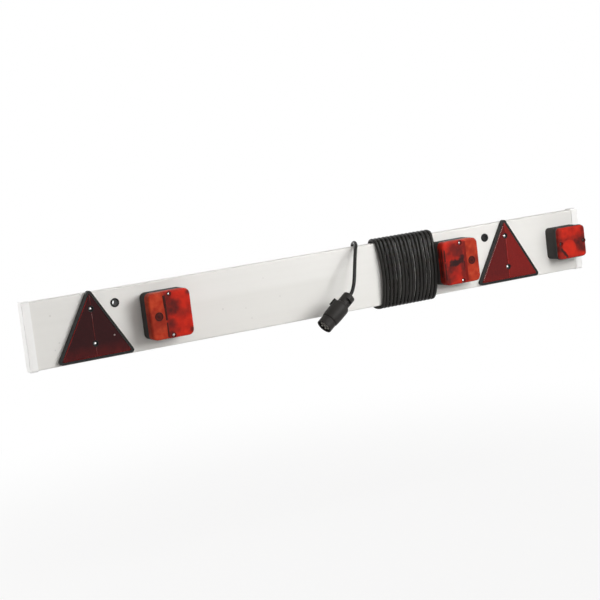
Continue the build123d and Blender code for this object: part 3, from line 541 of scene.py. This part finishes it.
def reflector_finish(name, side, halves, low, glow):
    """Prism plate: fine cells, a tone for each half, and a redder painted glow along the base; on the right reflector
    the halves differ as painted light.
    """
    material, tree, shader = new_material(name)
    where = object_place(tree)
    axes = axes_of(tree, where)
    cells = node(tree, "ShaderNodeTexVoronoi", feature="F1")
    feed(tree, cells.inputs["Vector"], where)
    feed(tree, cells.inputs["Scale"], 360.0)
    middle = place(REFLECTOR_U[side], 0, 0)[0]
    # A tone for each half; where the halves differ, it is painted light
    half = spread(tree, axes["X"], 0.0, 1.0, middle - 0.4 * MM, middle + 0.4 * MM)
    colour = blend_colours(tree, half, *halves)
    # A redder painted glow that rises towards the base
    rising = spread(tree, axes["Z"], 1.0, 0.0, place(0, -62, 0)[2], place(0, low, 0)[2], True)
    drift = noise(tree, where, 60.0, 4.0)
    colour = blend_colours(tree, calculate(tree, "MULTIPLY", rising, drift), colour, glow)
    mottle = spread(tree, cells.outputs["Distance"], 0.8, 0.0, 0.1, 0.9)
    colour = blend_colours(tree, calculate(tree, "MULTIPLY", mottle, 0.35), colour, (0.012, 0.004, 0.004))
    colour = shaded(tree, colour, REFLECTOR_MARKS, (0.45, 0.36, 0.34), 0.2)
    feed(tree, shader.inputs["Base Color"], colour)
    feed(tree, shader.inputs["Roughness"], spread(tree, drift, 0.12, 0.26))
    relief(tree, shader, cells.outputs["Distance"], 0.05, 0.0005)
    shader.inputs["Specular IOR Level"].default_value = 0.14
    return material


def about(u, v, spots):
    """Spots given from a lamp's middle, moved to their place on the board."""
    return [(u + du, v + dv, reach, strength) for du, dv, reach, strength in spots]


WHITE_BOARD = board_finish()
WHITE_CAP = moulded(
    "white cap",
    (0.895, 0.895, 0.88),
    (0.935, 0.935, 0.925),
    (0.30, 0.42),
    grain=1200.0,
    drift=9.0,
    bump=0.03,
    shine=0.5,
)
BLACK_MOULDING = moulded(
    "black moulding",
    (0.054, 0.052, 0.050),
    (0.078, 0.075, 0.072),
    (0.6, 0.75),
    grain=1400.0,
    drift=20.0,
    bump=0.2,
    shine=0.015,
)
BLACK_TRAY = moulded(
    "black tray", (0.010, 0.010, 0.010), (0.018, 0.018, 0.017), (0.36, 0.5), grain=1400.0, drift=20.0, bump=0.12
)
BUSH_BLACK = moulded("black bush", (0.006, 0.006, 0.006), (0.012, 0.012, 0.012), (0.45, 0.6))
SEAL_RUBBER = moulded("seal rubber", (0.008, 0.008, 0.008), (0.015, 0.015, 0.015), (0.6, 0.75))
PALE_CARRIER = moulded("pale carrier", (0.66, 0.65, 0.62), (0.78, 0.77, 0.74), (0.4, 0.55))
GREY_HOLDER = moulded("grey holder", (0.16, 0.15, 0.14), (0.24, 0.23, 0.22), (0.45, 0.6))
CABLE_SHEATH = moulded(
    "cable sheath",
    (0.018, 0.0172, 0.016),
    (0.027, 0.0255, 0.024),
    (0.10, 0.16),
    grain=700.0,
    drift=30.0,
    bump=0.05,
    shine=0.13,
)
GLAND_RUBBER = moulded("gland rubber", (0.010, 0.010, 0.010), (0.018, 0.018, 0.018), (0.55, 0.7))
LEAD_SHEATH = moulded("lead sheath", (0.14, 0.14, 0.14), (0.20, 0.20, 0.20), (0.4, 0.5))
PLUG_MOULDING = moulded(
    "plug moulding",
    (0.020, 0.0185, 0.017),
    (0.031, 0.0285, 0.0265),
    (0.38, 0.5),
    grain=1500.0,
    drift=40.0,
    bump=0.15,
    shine=0.12,
)
PLUG_FACE = moulded("plug face", (0.008, 0.008, 0.008), (0.014, 0.014, 0.014), (0.5, 0.6))
STEEL = {"grain": 2400.0, "drift": 120.0, "bump": 0.04}
# Near-black screws for the plug's clamp
DARK_CLAMP_STEEL = moulded("dark clamp steel", (0.020, 0.019, 0.018), (0.034, 0.032, 0.030), (0.4, 0.55), **STEEL, shine=0.3)
# A darker copy of the plated screw steel for the fog lamp's screws: painted shade
SHADED_SCREW_STEEL = moulded(
    "shaded screw",
    (0.035, 0.034, 0.033),
    (0.075, 0.074, 0.072),
    (0.35, 0.5),
    grain=2400.0,
    drift=160.0,
    bump=0.04,
    shine=0.5,
    metal=True,
)
SCREW_STEEL = moulded(
    "plated screw", (0.55, 0.55, 0.54), (0.75, 0.75, 0.74), (0.2, 0.34), **STEEL, shine=0.5, metal=True
)
PIN_METAL = moulded(
    "bright pin", (0.22, 0.207, 0.188), (0.35, 0.33, 0.30), (0.25, 0.35), **STEEL, shine=0.5, metal=True
)
RED_LENS = lens_finish(
    "red lens",
    (0.44, 0.0215, 0.0145),
    (0.66, 0.033, 0.0165),
    about(REAR_LAMP_U["left"], REAR_LAMP_V, LEFT_PAINTED_SHADE)
    + about(REAR_LAMP_U["right"], REAR_LAMP_V, RIGHT_PAINTED_SHADE)
    + about(FOG_U, 0.0, FOG_PAINTED_SHADE),
    (0.036, 0.017, 0.0165),
    0.08,
    about(FOG_U, 0.0, FOG_PAINTED_GLOW),
    about(REAR_LAMP_U["right"], REAR_LAMP_V, RIGHT_PAINTED_SHADE_MARKS) + about(FOG_U, 0.0, FOG_PAINTED_SHADE_MARKS),
)
AMBER_LENS = lens_finish(
    "amber lens",
    (0.40, 0.033, 0.016),
    (0.60, 0.072, 0.029),
    about(REAR_LAMP_U["left"], 0.0, LEFT_AMBER_PAINTED_SHADE) + about(REAR_LAMP_U["right"], 0.0, RIGHT_AMBER_PAINTED_SHADE),
    (0.14, 0.015, 0.0135),
    0.08,
)
LENS_TRIM = {"grain": 900.0, "bump": 0.1}
LENS_JOINT = moulded(
    "lens joint", (0.030, 0.006, 0.005), (0.055, 0.010, 0.008), (0.4, 0.55), **LENS_TRIM, drift=90.0, shine=0.08
)
LENS_BAND = moulded(
    "lens band", (0.14, 0.010, 0.008), (0.22, 0.015, 0.010), (0.4, 0.55), **LENS_TRIM, drift=90.0, shine=0.06
)
LENS_EYE = moulded(
    "lens eye", (0.055, 0.008, 0.006), (0.11, 0.013, 0.009), (0.3, 0.45), **LENS_TRIM, drift=150.0, shine=0.06
)
BULB_GLASS = lens_finish("bulb glass", (0.90, 0.90, 0.89), (0.95, 0.95, 0.94), [], (0.9, 0.9, 0.9), 1.0)
# The right reflector's halves differ as painted light, and both take a redder painted glow along the base
REFLECTOR_RED = {
    "left": reflector_finish(
        "left prisms",
        "left",
        halves=((0.034, 0.005, 0.006), (0.034, 0.005, 0.006)),
        low=-30,
        glow=(0.13, 0.008, 0.007),
    ),
    "right": reflector_finish(
        "right prisms",
        "right",
        halves=((0.122, 0.0085, 0.008), (0.205, 0.0115, 0.009)),
        low=-45,
        glow=(0.17, 0.010, 0.008),
    ),
}
# Edge prisms coloured brighter than the plates as painted glints: red ones, and pale ones on the right reflector's
# edge
PAINTED_GLINT_RED = moulded("painted red prism glint", (0.22, 0.010, 0.008), (0.34, 0.014, 0.010), (0.2, 0.35), drift=60.0)
RIDGE_RED = moulded("ridge red", (0.085, 0.008, 0.007), (0.13, 0.010, 0.008), (0.2, 0.35), drift=60.0)
PAINTED_PRISM_GLINT = moulded("painted prism glint", (0.42, 0.26, 0.24), (0.72, 0.55, 0.52), (0.2, 0.35), drift=220.0)

FINISHES = [
    ("board", WHITE_BOARD),
    ("end_cap", WHITE_CAP),
    ("fixing_bush", BUSH_BLACK),
    ("reflector_left_lens", REFLECTOR_RED["left"]),
    ("reflector_right_lens", REFLECTOR_RED["right"]),
    ("reflector", BLACK_TRAY),
    ("cable_gland", GLAND_RUBBER),
    ("lead_to", LEAD_SHEATH),
    ("plug_contact_carrier", PLUG_FACE),
    ("plug_pins", PIN_METAL),
    ("plug_clamp_screws", DARK_CLAMP_STEEL),
    ("plug", PLUG_MOULDING),
    ("cable", CABLE_SHEATH),
]
LAMP_FINISHES = [
    ("_amber_lens", AMBER_LENS),
    ("_lens", RED_LENS),
    ("_bulb", BULB_GLASS),
    ("_bulb_holder", GREY_HOLDER),
    ("_carrier", PALE_CARRIER),
    ("_seal", SEAL_RUBBER),
    ("_body", BLACK_MOULDING),
    ("_screws", SCREW_STEEL),
]


def finish_of(name):
    """The finish of a CAD node, by its name."""
    if name.startswith(("rear_lamp", "fog_lamp")):
        return next(material for ending, material in LAMP_FINISHES if name.endswith(ending))
    return next(material for start, material in FINISHES if name.startswith(start))


for name, solid in NODES.items():
    solid.data.materials.clear()
    solid.data.materials.append(finish_of(name))


def turn_place(turn, v):
    """Where a turn lies along the board at a height on its front."""
    done = sum(TURN_GAPS[:turn]) / sum(TURN_GAPS)
    top, middle, bottom = (
        FIRST_TURN_U[part] + (LAST_TURN_U[part] - FIRST_TURN_U[part]) * done for part in ("top", "middle", "bottom")
    )
    far = min(1.0, abs(v) / TURN_EDGE_V) ** 2
    return middle + ((top if v > 0 else bottom) - middle) * far


def cable_points():
    """The cable's control points: out of the gland, round the board, and out to the plug."""
    chance = random.Random(11)
    last = len(TURN_GAPS)
    points = list(LEAD_IN_ROUTE)
    for turn in range(last + 1):
        if turn:
            below = turn_place(turn - 1, -TURN_EDGE_V)
            above = turn_place(turn, TURN_EDGE_V)
            points += [(below + (above - below) * (v + TURN_EDGE_V) / (2 * TURN_EDGE_V), v, w) for v, w in TURN_BACK]
        play = chance.uniform(-TURN_BOW_PLAY, TURN_BOW_PLAY)
        bow = TURN_BOW[0] + (TURN_BOW[1] - TURN_BOW[0]) * turn / last + play - TURN_TOUCH_W
        front = [(v, TURN_TOUCH_W + bow * (1 - (v / TURN_EDGE_V) ** 2) ** TURN_BOW_FULLNESS) for v in TURN_FRONT]
        sway = chance.uniform(-TURN_SWAY, TURN_SWAY) if 0 < turn < last else 0.0
        points += [(turn_place(turn, v) + sway, v, w) for v, w in TURN_OVER + front + TURN_UNDER]
    replaced = len(TURN_UNDER) - 1
    hook = -1 - len(HANG_SHIFTS)
    hanging = [(u - shift, v, w) for (u, v, w), shift in zip(TAIL_ROUTE[hook:-1], HANG_SHIFTS)]
    return points[:-replaced] + LAST_UNDER + TAIL_ROUTE[:hook] + hanging + TAIL_ROUTE[-1:]


def make_cable():
    """The cable as one smooth curve, from the gland to the plug."""
    shape = bpy.data.curves.new("cable", "CURVE")
    shape.dimensions = "3D"
    shape.bevel_depth = CABLE_D / 2 * MM
    shape.bevel_resolution = 5
    shape.resolution_u = 5
    shape.use_fill_caps = True
    line = shape.splines.new("NURBS")
    points = [place(WINDING_U + u, v, w) for u, v, w in cable_points()]
    line.points.add(len(points) - 1)
    for control, point in zip(line.points, points):
        control.co = (*point, 1.0)
    line.order_u = 3
    line.use_endpoint_u = True
    shape.materials.append(CABLE_SHEATH)
    cable = bpy.data.objects.new("cable", shape)
    bpy.context.scene.collection.objects.link(cable)
    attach(cable, "root")
    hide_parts("cable_lead_in", "cable_winding", "cable_tail")


def add_piece(name, shape, material, slot, *replaced, sharp=38.0):
    """A finished mesh piece that rides on the board."""
    mesh = bpy.data.meshes.new(name)
    shape.to_mesh(mesh)
    shape.free()
    mesh.shade_smooth()
    mesh.set_sharp_from_angle(angle=math.radians(sharp))
    mesh.materials.append(material)
    made = bpy.data.objects.new(name, mesh)
    bpy.context.scene.collection.objects.link(made)
    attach(made, "root")
    if replaced:
        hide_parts(*replaced)
    return made


def join(shape, made, seat):
    """Adds a form to a shape at its seat."""
    bmesh.ops.remove_doubles(made, verts=made.verts, dist=0.001)
    bmesh.ops.recalc_face_normals(made, faces=made.faces)
    bmesh.ops.transform(made, matrix=seat, verts=made.verts)
    mesh = bpy.data.meshes.new("form")
    made.to_mesh(mesh)
    made.free()
    shape.from_mesh(mesh)
    bpy.data.meshes.remove(mesh)


def verts_of(geometry):
    """The vertices among an operator's results."""
    return [part for part in geometry if isinstance(part, bmesh.types.BMVert)]


def sink(made, faces, move):
    """Sinks faces of a closed form: each vertex of their floor goes by its own move, and the faces go."""
    floor = verts_of(bmesh.ops.extrude_face_region(made, geom=faces)["geom"])
    bmesh.ops.delete(made, geom=faces, context="FACES")
    for vert in floor:
        bmesh.ops.translate(made, vec=move(vert.co), verts=[vert])


def turned(profile, steps=40):
    """A form turned about its z axis from a profile of (radius, height) points."""
    made = bmesh.new()
    points = [made.verts.new((radius, 0, height)) for radius, height in profile]
    edges = [made.edges.new(pair) for pair in zip(points, points[1:])]
    bmesh.ops.spin(
        made, geom=points + edges, cent=(0, 0, 0), axis=(0, 0, 1), angle=math.tau, steps=steps, use_merge=True
    )
    bmesh.ops.remove_doubles(made, verts=made.verts, dist=0.001)
    bmesh.ops.recalc_face_normals(made, faces=made.faces)
    return made


def arc(radius, height, reach, start, end, steps):
    """Points on an arc, for a rounded corner of a profile; angles in degrees from the radius."""
    angles = [math.radians(start + (end - start) * i / steps) for i in range(steps + 1)]
    return [(radius + reach * math.cos(a), height + reach * math.sin(a)) for a in angles]


def plate(length, width):
    """A flat rectangle in its own x and y."""
    made = bmesh.new()
    bmesh.ops.create_grid(made, x_segments=1, y_segments=1, size=0.5)
    bmesh.ops.scale(made, vec=(length, width, 1), verts=made.verts)
    return made


def raise_faces(made, faces, height):
    """Raises flat faces into a closed form, and gives the vertices of its top."""
    top = verts_of(bmesh.ops.extrude_face_region(made, geom=faces)["geom"])
    bmesh.ops.translate(made, vec=(0, 0, height), verts=top)
    return top


def bar(length, width, height, soften=0.4):
    """A low bar along its x axis with softened upper edges."""
    made = plate(length, width)
    top = raise_faces(made, made.faces[:], height)
    edges = [edge for edge in made.edges if any(vert in top for vert in edge.verts)]
    reach = soften * min(width, height)
    bmesh.ops.bevel(made, geom=edges, offset=reach, segments=2, profile=0.5, affect="EDGES", material=-1)
    return made


def bar_between(shape, first, second, w, width, height):
    """A bar on the face from one (u, v) point to another."""
    along = Vector(second) - Vector(first)
    middle = (Vector(first) + Vector(second)) / 2
    join(shape, bar(along.length, width, height), face_seat(*middle, w, math.atan2(along[1], along[0])))


def screw(head_r, head_height, shank_r, length, slot):
    """A slotted screw with a domed head that rests on its seat."""
    dome_r = (head_r**2 + head_height**2) / (2 * head_height)
    spread_angle = math.degrees(math.asin(0.97 * head_r / dome_r))
    profile = arc(0, head_height - dome_r, dome_r, 90, 90 - spread_angle, 6)
    profile += [(head_r, 0), (shank_r, 0), (shank_r, 2 - length), (0, -length)]
    made = turned(profile, 28)
    for edge in (-slot / 2, slot / 2):
        everything = made.verts[:] + made.edges[:] + made.faces[:]
        bmesh.ops.bisect_plane(made, geom=everything, plane_co=(0, edge, 0), plane_no=(0, 1, 0))
    strip = [f for f in made.faces if f.normal.z > 0.2 and abs(f.calc_center_median().y) < slot / 2]
    sink(made, strip, lambda point: Vector((0, 0, -SLOT_DEPTH)))
    return made


def make_screws():
    """The slotted screws that show in the reflectors and the lenses."""
    shape = bmesh.new()
    for side, u in REFLECTOR_U.items():
        for v, turn in zip(REFLECTOR_SCREW_V, REFLECTOR_SLOT_TURNS[side]):
            join(shape, screw(**REFLECTOR_SCREW), face_seat(u, v, REFLECTOR_SCREW_W, turn))
    add_piece("reflector_slotted_screws", shape, SCREW_STEEL, "screw_steel", "reflector_screws")

    shape = bmesh.new()
    for side, u in REAR_LAMP_U.items():
        for v, turn in zip(REAR_SCREW_V, REAR_SLOT_TURNS[side]):
            join(shape, screw(**REAR_SCREW), face_seat(u, REAR_LAMP_V + v, REAR_SCREW_W, turn))
    add_piece("rear_lens_slotted_screws", shape, SCREW_STEEL, "screw_steel", "rear_lamp_lens_screws")

    # The fog lamp's screws take the darker steel, as painted shade
    shape = bmesh.new()
    for across, turn in zip(FOG_SCREW_U, FOG_SLOT_TURNS):
        join(shape, screw(**FOG_SCREW), face_seat(FOG_U + across, 0.0, FOG_SCREW_W, turn))
    add_piece("fog_lens_slotted_screws", shape, SHADED_SCREW_STEEL, "screw_steel", "fog_lamp_lens_screws")


def make_screw_eyes():
    """The raised eyes round the lens screws."""
    eye = [(3.75, -0.6), (3.75, 0.25), (4.1, 0.45), (4.8, 0.45), (5.3, 0.2), (5.4, -0.3), (3.75, -0.6)]
    shape = bmesh.new()
    for u in REAR_LAMP_U.values():
        for v in REAR_SCREW_V:
            join(shape, turned(eye, 36), face_seat(u, REAR_LAMP_V + v, REAR_LENS_W))
    for across in FOG_SCREW_U:
        join(shape, turned(eye, 36), face_seat(FOG_U + across, 0.0, FOG_LENS_W))
    add_piece("lens_screw_eyes", shape, LENS_JOINT, "lens_red")


def make_bullseyes():
    """The bullseyes moulded in the amber lenses, with their dark rims and hearts."""
    disc = [(0, 0.3), (4.0, 0.3), (4.4, 0.05), (6.2, 0.05), (6.6, 0.3)]
    disc += [(9.0, 0.3), (9.3, 0.0), (9.3, -0.5), (0, -0.5)]
    rim = [(6.4, -0.2), (6.6, 0.6), (7.4, 0.8), (8.6, 0.7), (9.2, 0.3), (9.3, -0.2), (6.4, -0.2)]
    heart = [(0, 0.75), (1.6, 0.7), (3.0, 0.5), (3.6, 0.2), (3.6, -0.2), (0, -0.2)]
    shape = bmesh.new()
    dark = bmesh.new()
    for side, u in REAR_LAMP_U.items():
        seat = face_seat(u + OUTWARD[side] * BULLSEYE_OUT, REAR_LAMP_V - BULLSEYE_DOWN, REAR_LENS_W)
        join(shape, turned(disc, 48), seat)
        join(dark, turned(rim, 48), seat)
        join(dark, turned(heart, 32), seat)
    add_piece("bullseye_rings", dark, LENS_JOINT, "lens_amber")
    add_piece("amber_bullseyes", shape, LENS_EYE, "lens_amber")


def add_lens_bars(shape, bars):
    """Adds low bars to the fronts of the rear lenses."""
    for side, first, second, width, height in bars:
        ends = [(REAR_LAMP_U[side] + u, v) for u, v in (first, second)]
        bar_between(shape, *ends, REAR_LENS_W - BAR_SUNK, width, height)


def make_lens_joints():
    """The dark joints of the rear lenses, on their fronts and on the right lamp's left wall."""
    shape = bmesh.new()
    add_lens_bars(shape, LENS_JOINT_BARS)
    for w, high, low, width in WALL_BARS:
        seat = wall_seat(REAR_LAMP_U["right"] + WALL_BAR_U, REAR_LAMP_V + (high + low) / 2, w)
        join(shape, bar(high - low, width, WALL_BAR_HEIGHT), seat)
    add_piece("lens_joints", shape, LENS_JOINT, "lens_red")

    shape = bmesh.new()
    add_lens_bars(shape, LENS_BAND_BARS)
    add_piece("lens_joint_band", shape, LENS_BAND, "lens_red")


def make_fog_lip():
    """The fog lamp's lip: the body's thin wall where it reaches up round the lens."""
    made = plate(*FOG_LIP_SIZE)
    corners = made.verts[:]
    bmesh.ops.bevel(
        made, geom=corners, offset=FOG_LIP_CORNER, segments=8, profile=0.5, affect="VERTICES", material=-1
    )
    middle = made.faces[:]
    ring = bmesh.ops.inset_region(
        made, faces=middle, thickness=FOG_LIP_WALL, use_boundary=True, use_even_offset=True
    )["faces"]
    bmesh.ops.delete(made, geom=middle, context="FACES")
    top = raise_faces(made, ring, FOG_LIP_HEIGHT)
    edges = [edge for edge in made.edges if all(vert in top for vert in edge.verts) and len(edge.link_faces) == 2]
    rims = [edge for edge in edges if edge.calc_face_angle() > 1.0]
    bmesh.ops.bevel(made, geom=rims, offset=0.35, segments=2, profile=0.5, affect="EDGES", material=-1)
    shape = bmesh.new()
    join(shape, made, face_seat(FOG_U, 0.0, FOG_LIP_W))
    add_piece("fog_lamp_lip", shape, BLACK_MOULDING, "lamp_black")


def reflector_corner(inset, corner):
    """A corner of the reflector's triangle drawn in by an inset, before it is rounded."""
    side = REFLECTOR_SIDE - 2 * math.sqrt(3) * inset
    low = REFLECTOR_LOW + inset
    corners = {"left": (-side / 2, low), "right": (side / 2, low), "top": (0, low + side * math.sqrt(3) / 2)}
    return Vector(corners[corner])


def edge_run(side, inset, first, second, trims):
    """The two ends of a run along a reflector's edge, trimmed at both ends."""
    start, end = reflector_corner(inset, first), reflector_corner(inset, second)
    way = (end - start).normalized()
    move = Vector((REFLECTOR_U[side], 0))
    return start + way * trims[0] + move, end - way * trims[1] + move


def prism_row(shape, ends, pitch, reach):
    """A row of small raised prisms between two points on a reflector's face."""
    first, second = ends
    count = int((second - first).length / pitch)
    for i in range(count + 1):
        point = first.lerp(second, i / count)
        made = bmesh.new()
        bmesh.ops.create_cone(made, cap_ends=True, segments=6, radius1=reach, radius2=reach * 0.45, depth=0.7)
        join(shape, made, face_seat(*point, REFLECTOR_W + 0.15, 0.4))


def add_ridge(shape, u, width):
    """Adds the ridge down a reflector's middle."""
    for high, low in RIDGE_RUNS:
        bar_between(shape, (u, high), (u, low), REFLECTOR_W - BAR_SUNK, width, RIDGE_HEIGHT)


def make_reflector_details():
    """What shows on the prism plates: the ridge between the halves and the rows of edge prisms, coloured as painted
    glints.
    """
    shape = bmesh.new()
    add_ridge(shape, REFLECTOR_U["left"], 1.3)
    add_piece("left_reflector_ridge", shape, RIDGE_RED, "reflector_red")

    shape = bmesh.new()
    prism_row(shape, edge_run("left", 6.6, "left", "top", (6, 9)), pitch=3.1, reach=1.3)
    prism_row(shape, edge_run("left", 6.2, "left", "right", (5, 5)), pitch=2.6, reach=0.8)
    add_piece("left_reflector_prisms", shape, PAINTED_GLINT_RED, "reflector_red")

    shape = bmesh.new()
    add_ridge(shape, REFLECTOR_U["right"] + 0.6, 1.6)
    prism_row(shape, edge_run("right", 6.2, "left", "right", (5, 5)), pitch=2.6, reach=0.8)
    add_piece("right_reflector_prisms", shape, PAINTED_GLINT_RED, "reflector_red")

    shape = bmesh.new()
    prism_row(shape, edge_run("right", 6.8, "left", "top", (6, 9)), pitch=3.6, reach=1.0)
    add_piece("right_reflector_glints", shape, PAINTED_PRISM_GLINT, "reflector_red")


def make_plug_shell(seat):
    """The plug's body: shoulder, barrel, groove, hollow mouth and lug."""
    shape = bmesh.new()
    profile = [(0, 27), (14.6, 27), (15.2, 27.6), (16.6, 28.6), (18.2, 30.4), (19.2, 32.8), (19.6, 35.4)]
    profile += [(19.6, 44), (19.6, 54), (19.4, 62), (18.9, 69), (18.5, 72.8), (18.2, 73.6)]
    profile += [(17.4, 74.0), (16.6, 74.1), (16.6, 75.5), (17.0, 75.7), (17.4, 76.2), (17.4, 84), (17.4, 92.8)]
    profile += arc(16.6, 93.2, 0.8, 0, 90, 3)
    profile += [(15.8, 94.0), (15.3, 93.6), (15.2, 92.8), (15.2, 76.2), (0, 76.2)]
    join(shape, turned(profile, 64), seat)
    lug = bar(length=15.5, width=11.0, height=12.8, soften=0.09)
    lug_seat = Matrix.Translation((10.0, 0, 36.25)) @ Matrix(((0, 0, 1), (0, 1, 0), (-1, 0, 0))).to_4x4()
    join(shape, lug, seat @ lug_seat)
    return add_piece("plug_shell", shape, PLUG_MOULDING, "plug_plastic", "plug_body")


def make_plug_grip(seat):
    """The plug's clamp, with a notch on each side for its screws and a small ridge."""
    profile = [(0, 0.6), (4.2, 0.6), (4.8, 0), (11.0, 0)] + arc(11.0, 3.0, 3.0, 270, 360, 5)
    profile += [(14, 8), (14, NOTCH_START), (14, NOTCH_END), (14, 26.4), (13.4, 27.0), (0, 27.0)]
    made = turned(profile, 72)
    out = Vector((math.sin(NOTCH_TURN), -math.cos(NOTCH_TURN), 0))
    for way in (out, -out):
        cut = [
            face
            for face in made.faces
            if NOTCH_START < face.calc_center_median().z < NOTCH_END and face.normal.dot(way) > 0.58
        ]
        sink(made, cut, lambda point: way * (NOTCH_FLOOR - point.dot(way)))
    shape = bmesh.new()
    join(shape, made, seat)
    ridge = bar(length=7.4, width=0.9, height=0.7)
    ridge_seat = Matrix.Translation((0, -13.8, 6.9)) @ Matrix(((0, 1, 0), (0, 0, -1), (-1, 0, 0))).to_4x4()
    join(shape, ridge, seat @ Matrix.Rotation(CLAMP_RIDGE_TURN, 4, "Z") @ ridge_seat)
    return add_piece("plug_grip", shape, PLUG_MOULDING, "plug_plastic", "plug_clamp")


def make_plug_contacts(seat):
    """The plug's pins: one in the middle and a ring of six, each with a hollow tip."""
    shape = bmesh.new()
    pin = [(0, -5.5), (2.35, -5.5), (2.35, 4.2), (2.0, 4.8), (1.5, 5.0), (1.2, 4.7), (1.2, 1.0), (0, 1.0)]
    turns = [i * math.tau / PIN_COUNT for i in range(PIN_COUNT)]
    spots = [(0.0, 0.0)] + [(PIN_CIRCLE_R * math.cos(turn), PIN_CIRCLE_R * math.sin(turn)) for turn in turns]
    for x, y in spots:
        join(shape, turned(pin, 24), seat @ Matrix.Translation((x, y, PIN_Z)))
    return add_piece("plug_contacts", shape, PIN_METAL, "pin_brass", "plug_pins")


def make_plug():
    """The seven-pin plug, as the pieces that hang on the cable's end."""
    seat = plug_seat()
    pieces = [make_plug_shell(seat), make_plug_grip(seat), make_plug_contacts(seat)]
    return pieces + [NODES["plug_clamp_screws"], NODES["plug_contact_carrier"]]


plug_set = make_plug()
make_cable()
make_screws()
make_screw_eyes()
make_bullseyes()
make_lens_joints()
make_fog_lip()
make_reflector_details()


def make_camera():
    """The camera at the photograph's viewing angle."""
    data = bpy.data.cameras.new("view")
    data.sensor_width = CAMERA_SENSOR
    data.lens = CAMERA_LENS
    data.clip_end = 50.0
    camera = bpy.data.objects.new("view", data)
    right = Vector(CAMERA_RIGHT)
    up = Vector(CAMERA_UP)
    turn = Matrix((right, up, right.cross(up))).transposed().to_4x4()
    camera.matrix_world = Matrix.Translation(CAMERA_PLACE) @ turn
    bpy.context.scene.collection.objects.link(camera)
    bpy.context.scene.camera = camera


def soft_light(name, where, target, size, power, beam):
    """A soft rectangular studio lamp, with its beam's width in degrees."""
    data = bpy.data.lights.new(name, "AREA")
    data.shape = "RECTANGLE"
    data.size, data.size_y = size
    data.energy = power
    data.spread = math.radians(beam)
    lamp = bpy.data.objects.new(name, data)
    lamp.location = where
    lamp.rotation_euler = (Vector(target) - Vector(where)).to_track_quat("-Z", "Y").to_euler()
    bpy.context.scene.collection.objects.link(lamp)


def pale_rays(tree):
    """A mask of the rays that see the white background itself."""
    path = node(tree, "ShaderNodeLightPath").outputs
    seen = calculate(tree, "MAXIMUM", path["Is Camera Ray"], path["Is Glossy Ray"])
    return calculate(tree, "MAXIMUM", seen, path["Is Transmission Ray"])


def make_surroundings():
    """White surroundings to the eye, which light the board only faintly."""
    world = bpy.data.worlds.new("studio")
    bpy.context.scene.world = world
    world.use_nodes = True
    tree = world.node_tree
    background = tree.nodes["Background"]
    seen = pale_rays(tree)
    feed(tree, background.inputs["Color"], blend_colours(tree, seen, WORLD_TINT, (1.0, 1.0, 1.0)))
    feed(tree, background.inputs["Strength"], spread(tree, seen, WORLD_LIGHT, 1.0))


def make_floor():
    """A pale floor below the hung board, which fades to white away from it."""
    material, tree, shader = new_material("pale floor")
    shader.inputs["Base Color"].default_value = (0.90, 0.90, 0.90, 1.0)
    shader.inputs["Roughness"].default_value = 0.9
    glow = node(tree, "ShaderNodeEmission")
    mix = node(tree, "ShaderNodeMixShader")
    far = vector_step(tree, "LENGTH", object_place(tree))
    fade = spread(tree, far, 0.85, 1.0, 0.7, 1.9, True)
    feed(tree, mix.inputs["Fac"], calculate(tree, "MULTIPLY", pale_rays(tree), fade))
    tree.links.new(shader.outputs["BSDF"], mix.inputs[1])
    tree.links.new(glow.outputs["Emission"], mix.inputs[2])
    tree.links.new(mix.outputs["Shader"], tree.nodes["Material Output"].inputs["Surface"])
    shape = bmesh.new()
    bmesh.ops.create_grid(shape, x_segments=1, y_segments=1, size=FLOOR_REACH)
    bmesh.ops.translate(shape, verts=shape.verts, vec=(0.0, 0.0, FLOOR_Z))
    mesh = bpy.data.meshes.new("floor")
    shape.to_mesh(mesh)
    shape.free()
    mesh.materials.append(material)
    floor = bpy.data.objects.new("floor", mesh)
    bpy.context.scene.collection.objects.link(floor)


make_camera()
make_surroundings()
make_floor()
for lamp in LAMPS:
    soft_light(*lamp)
bpy.context.scene.view_settings.view_transform = "Standard"
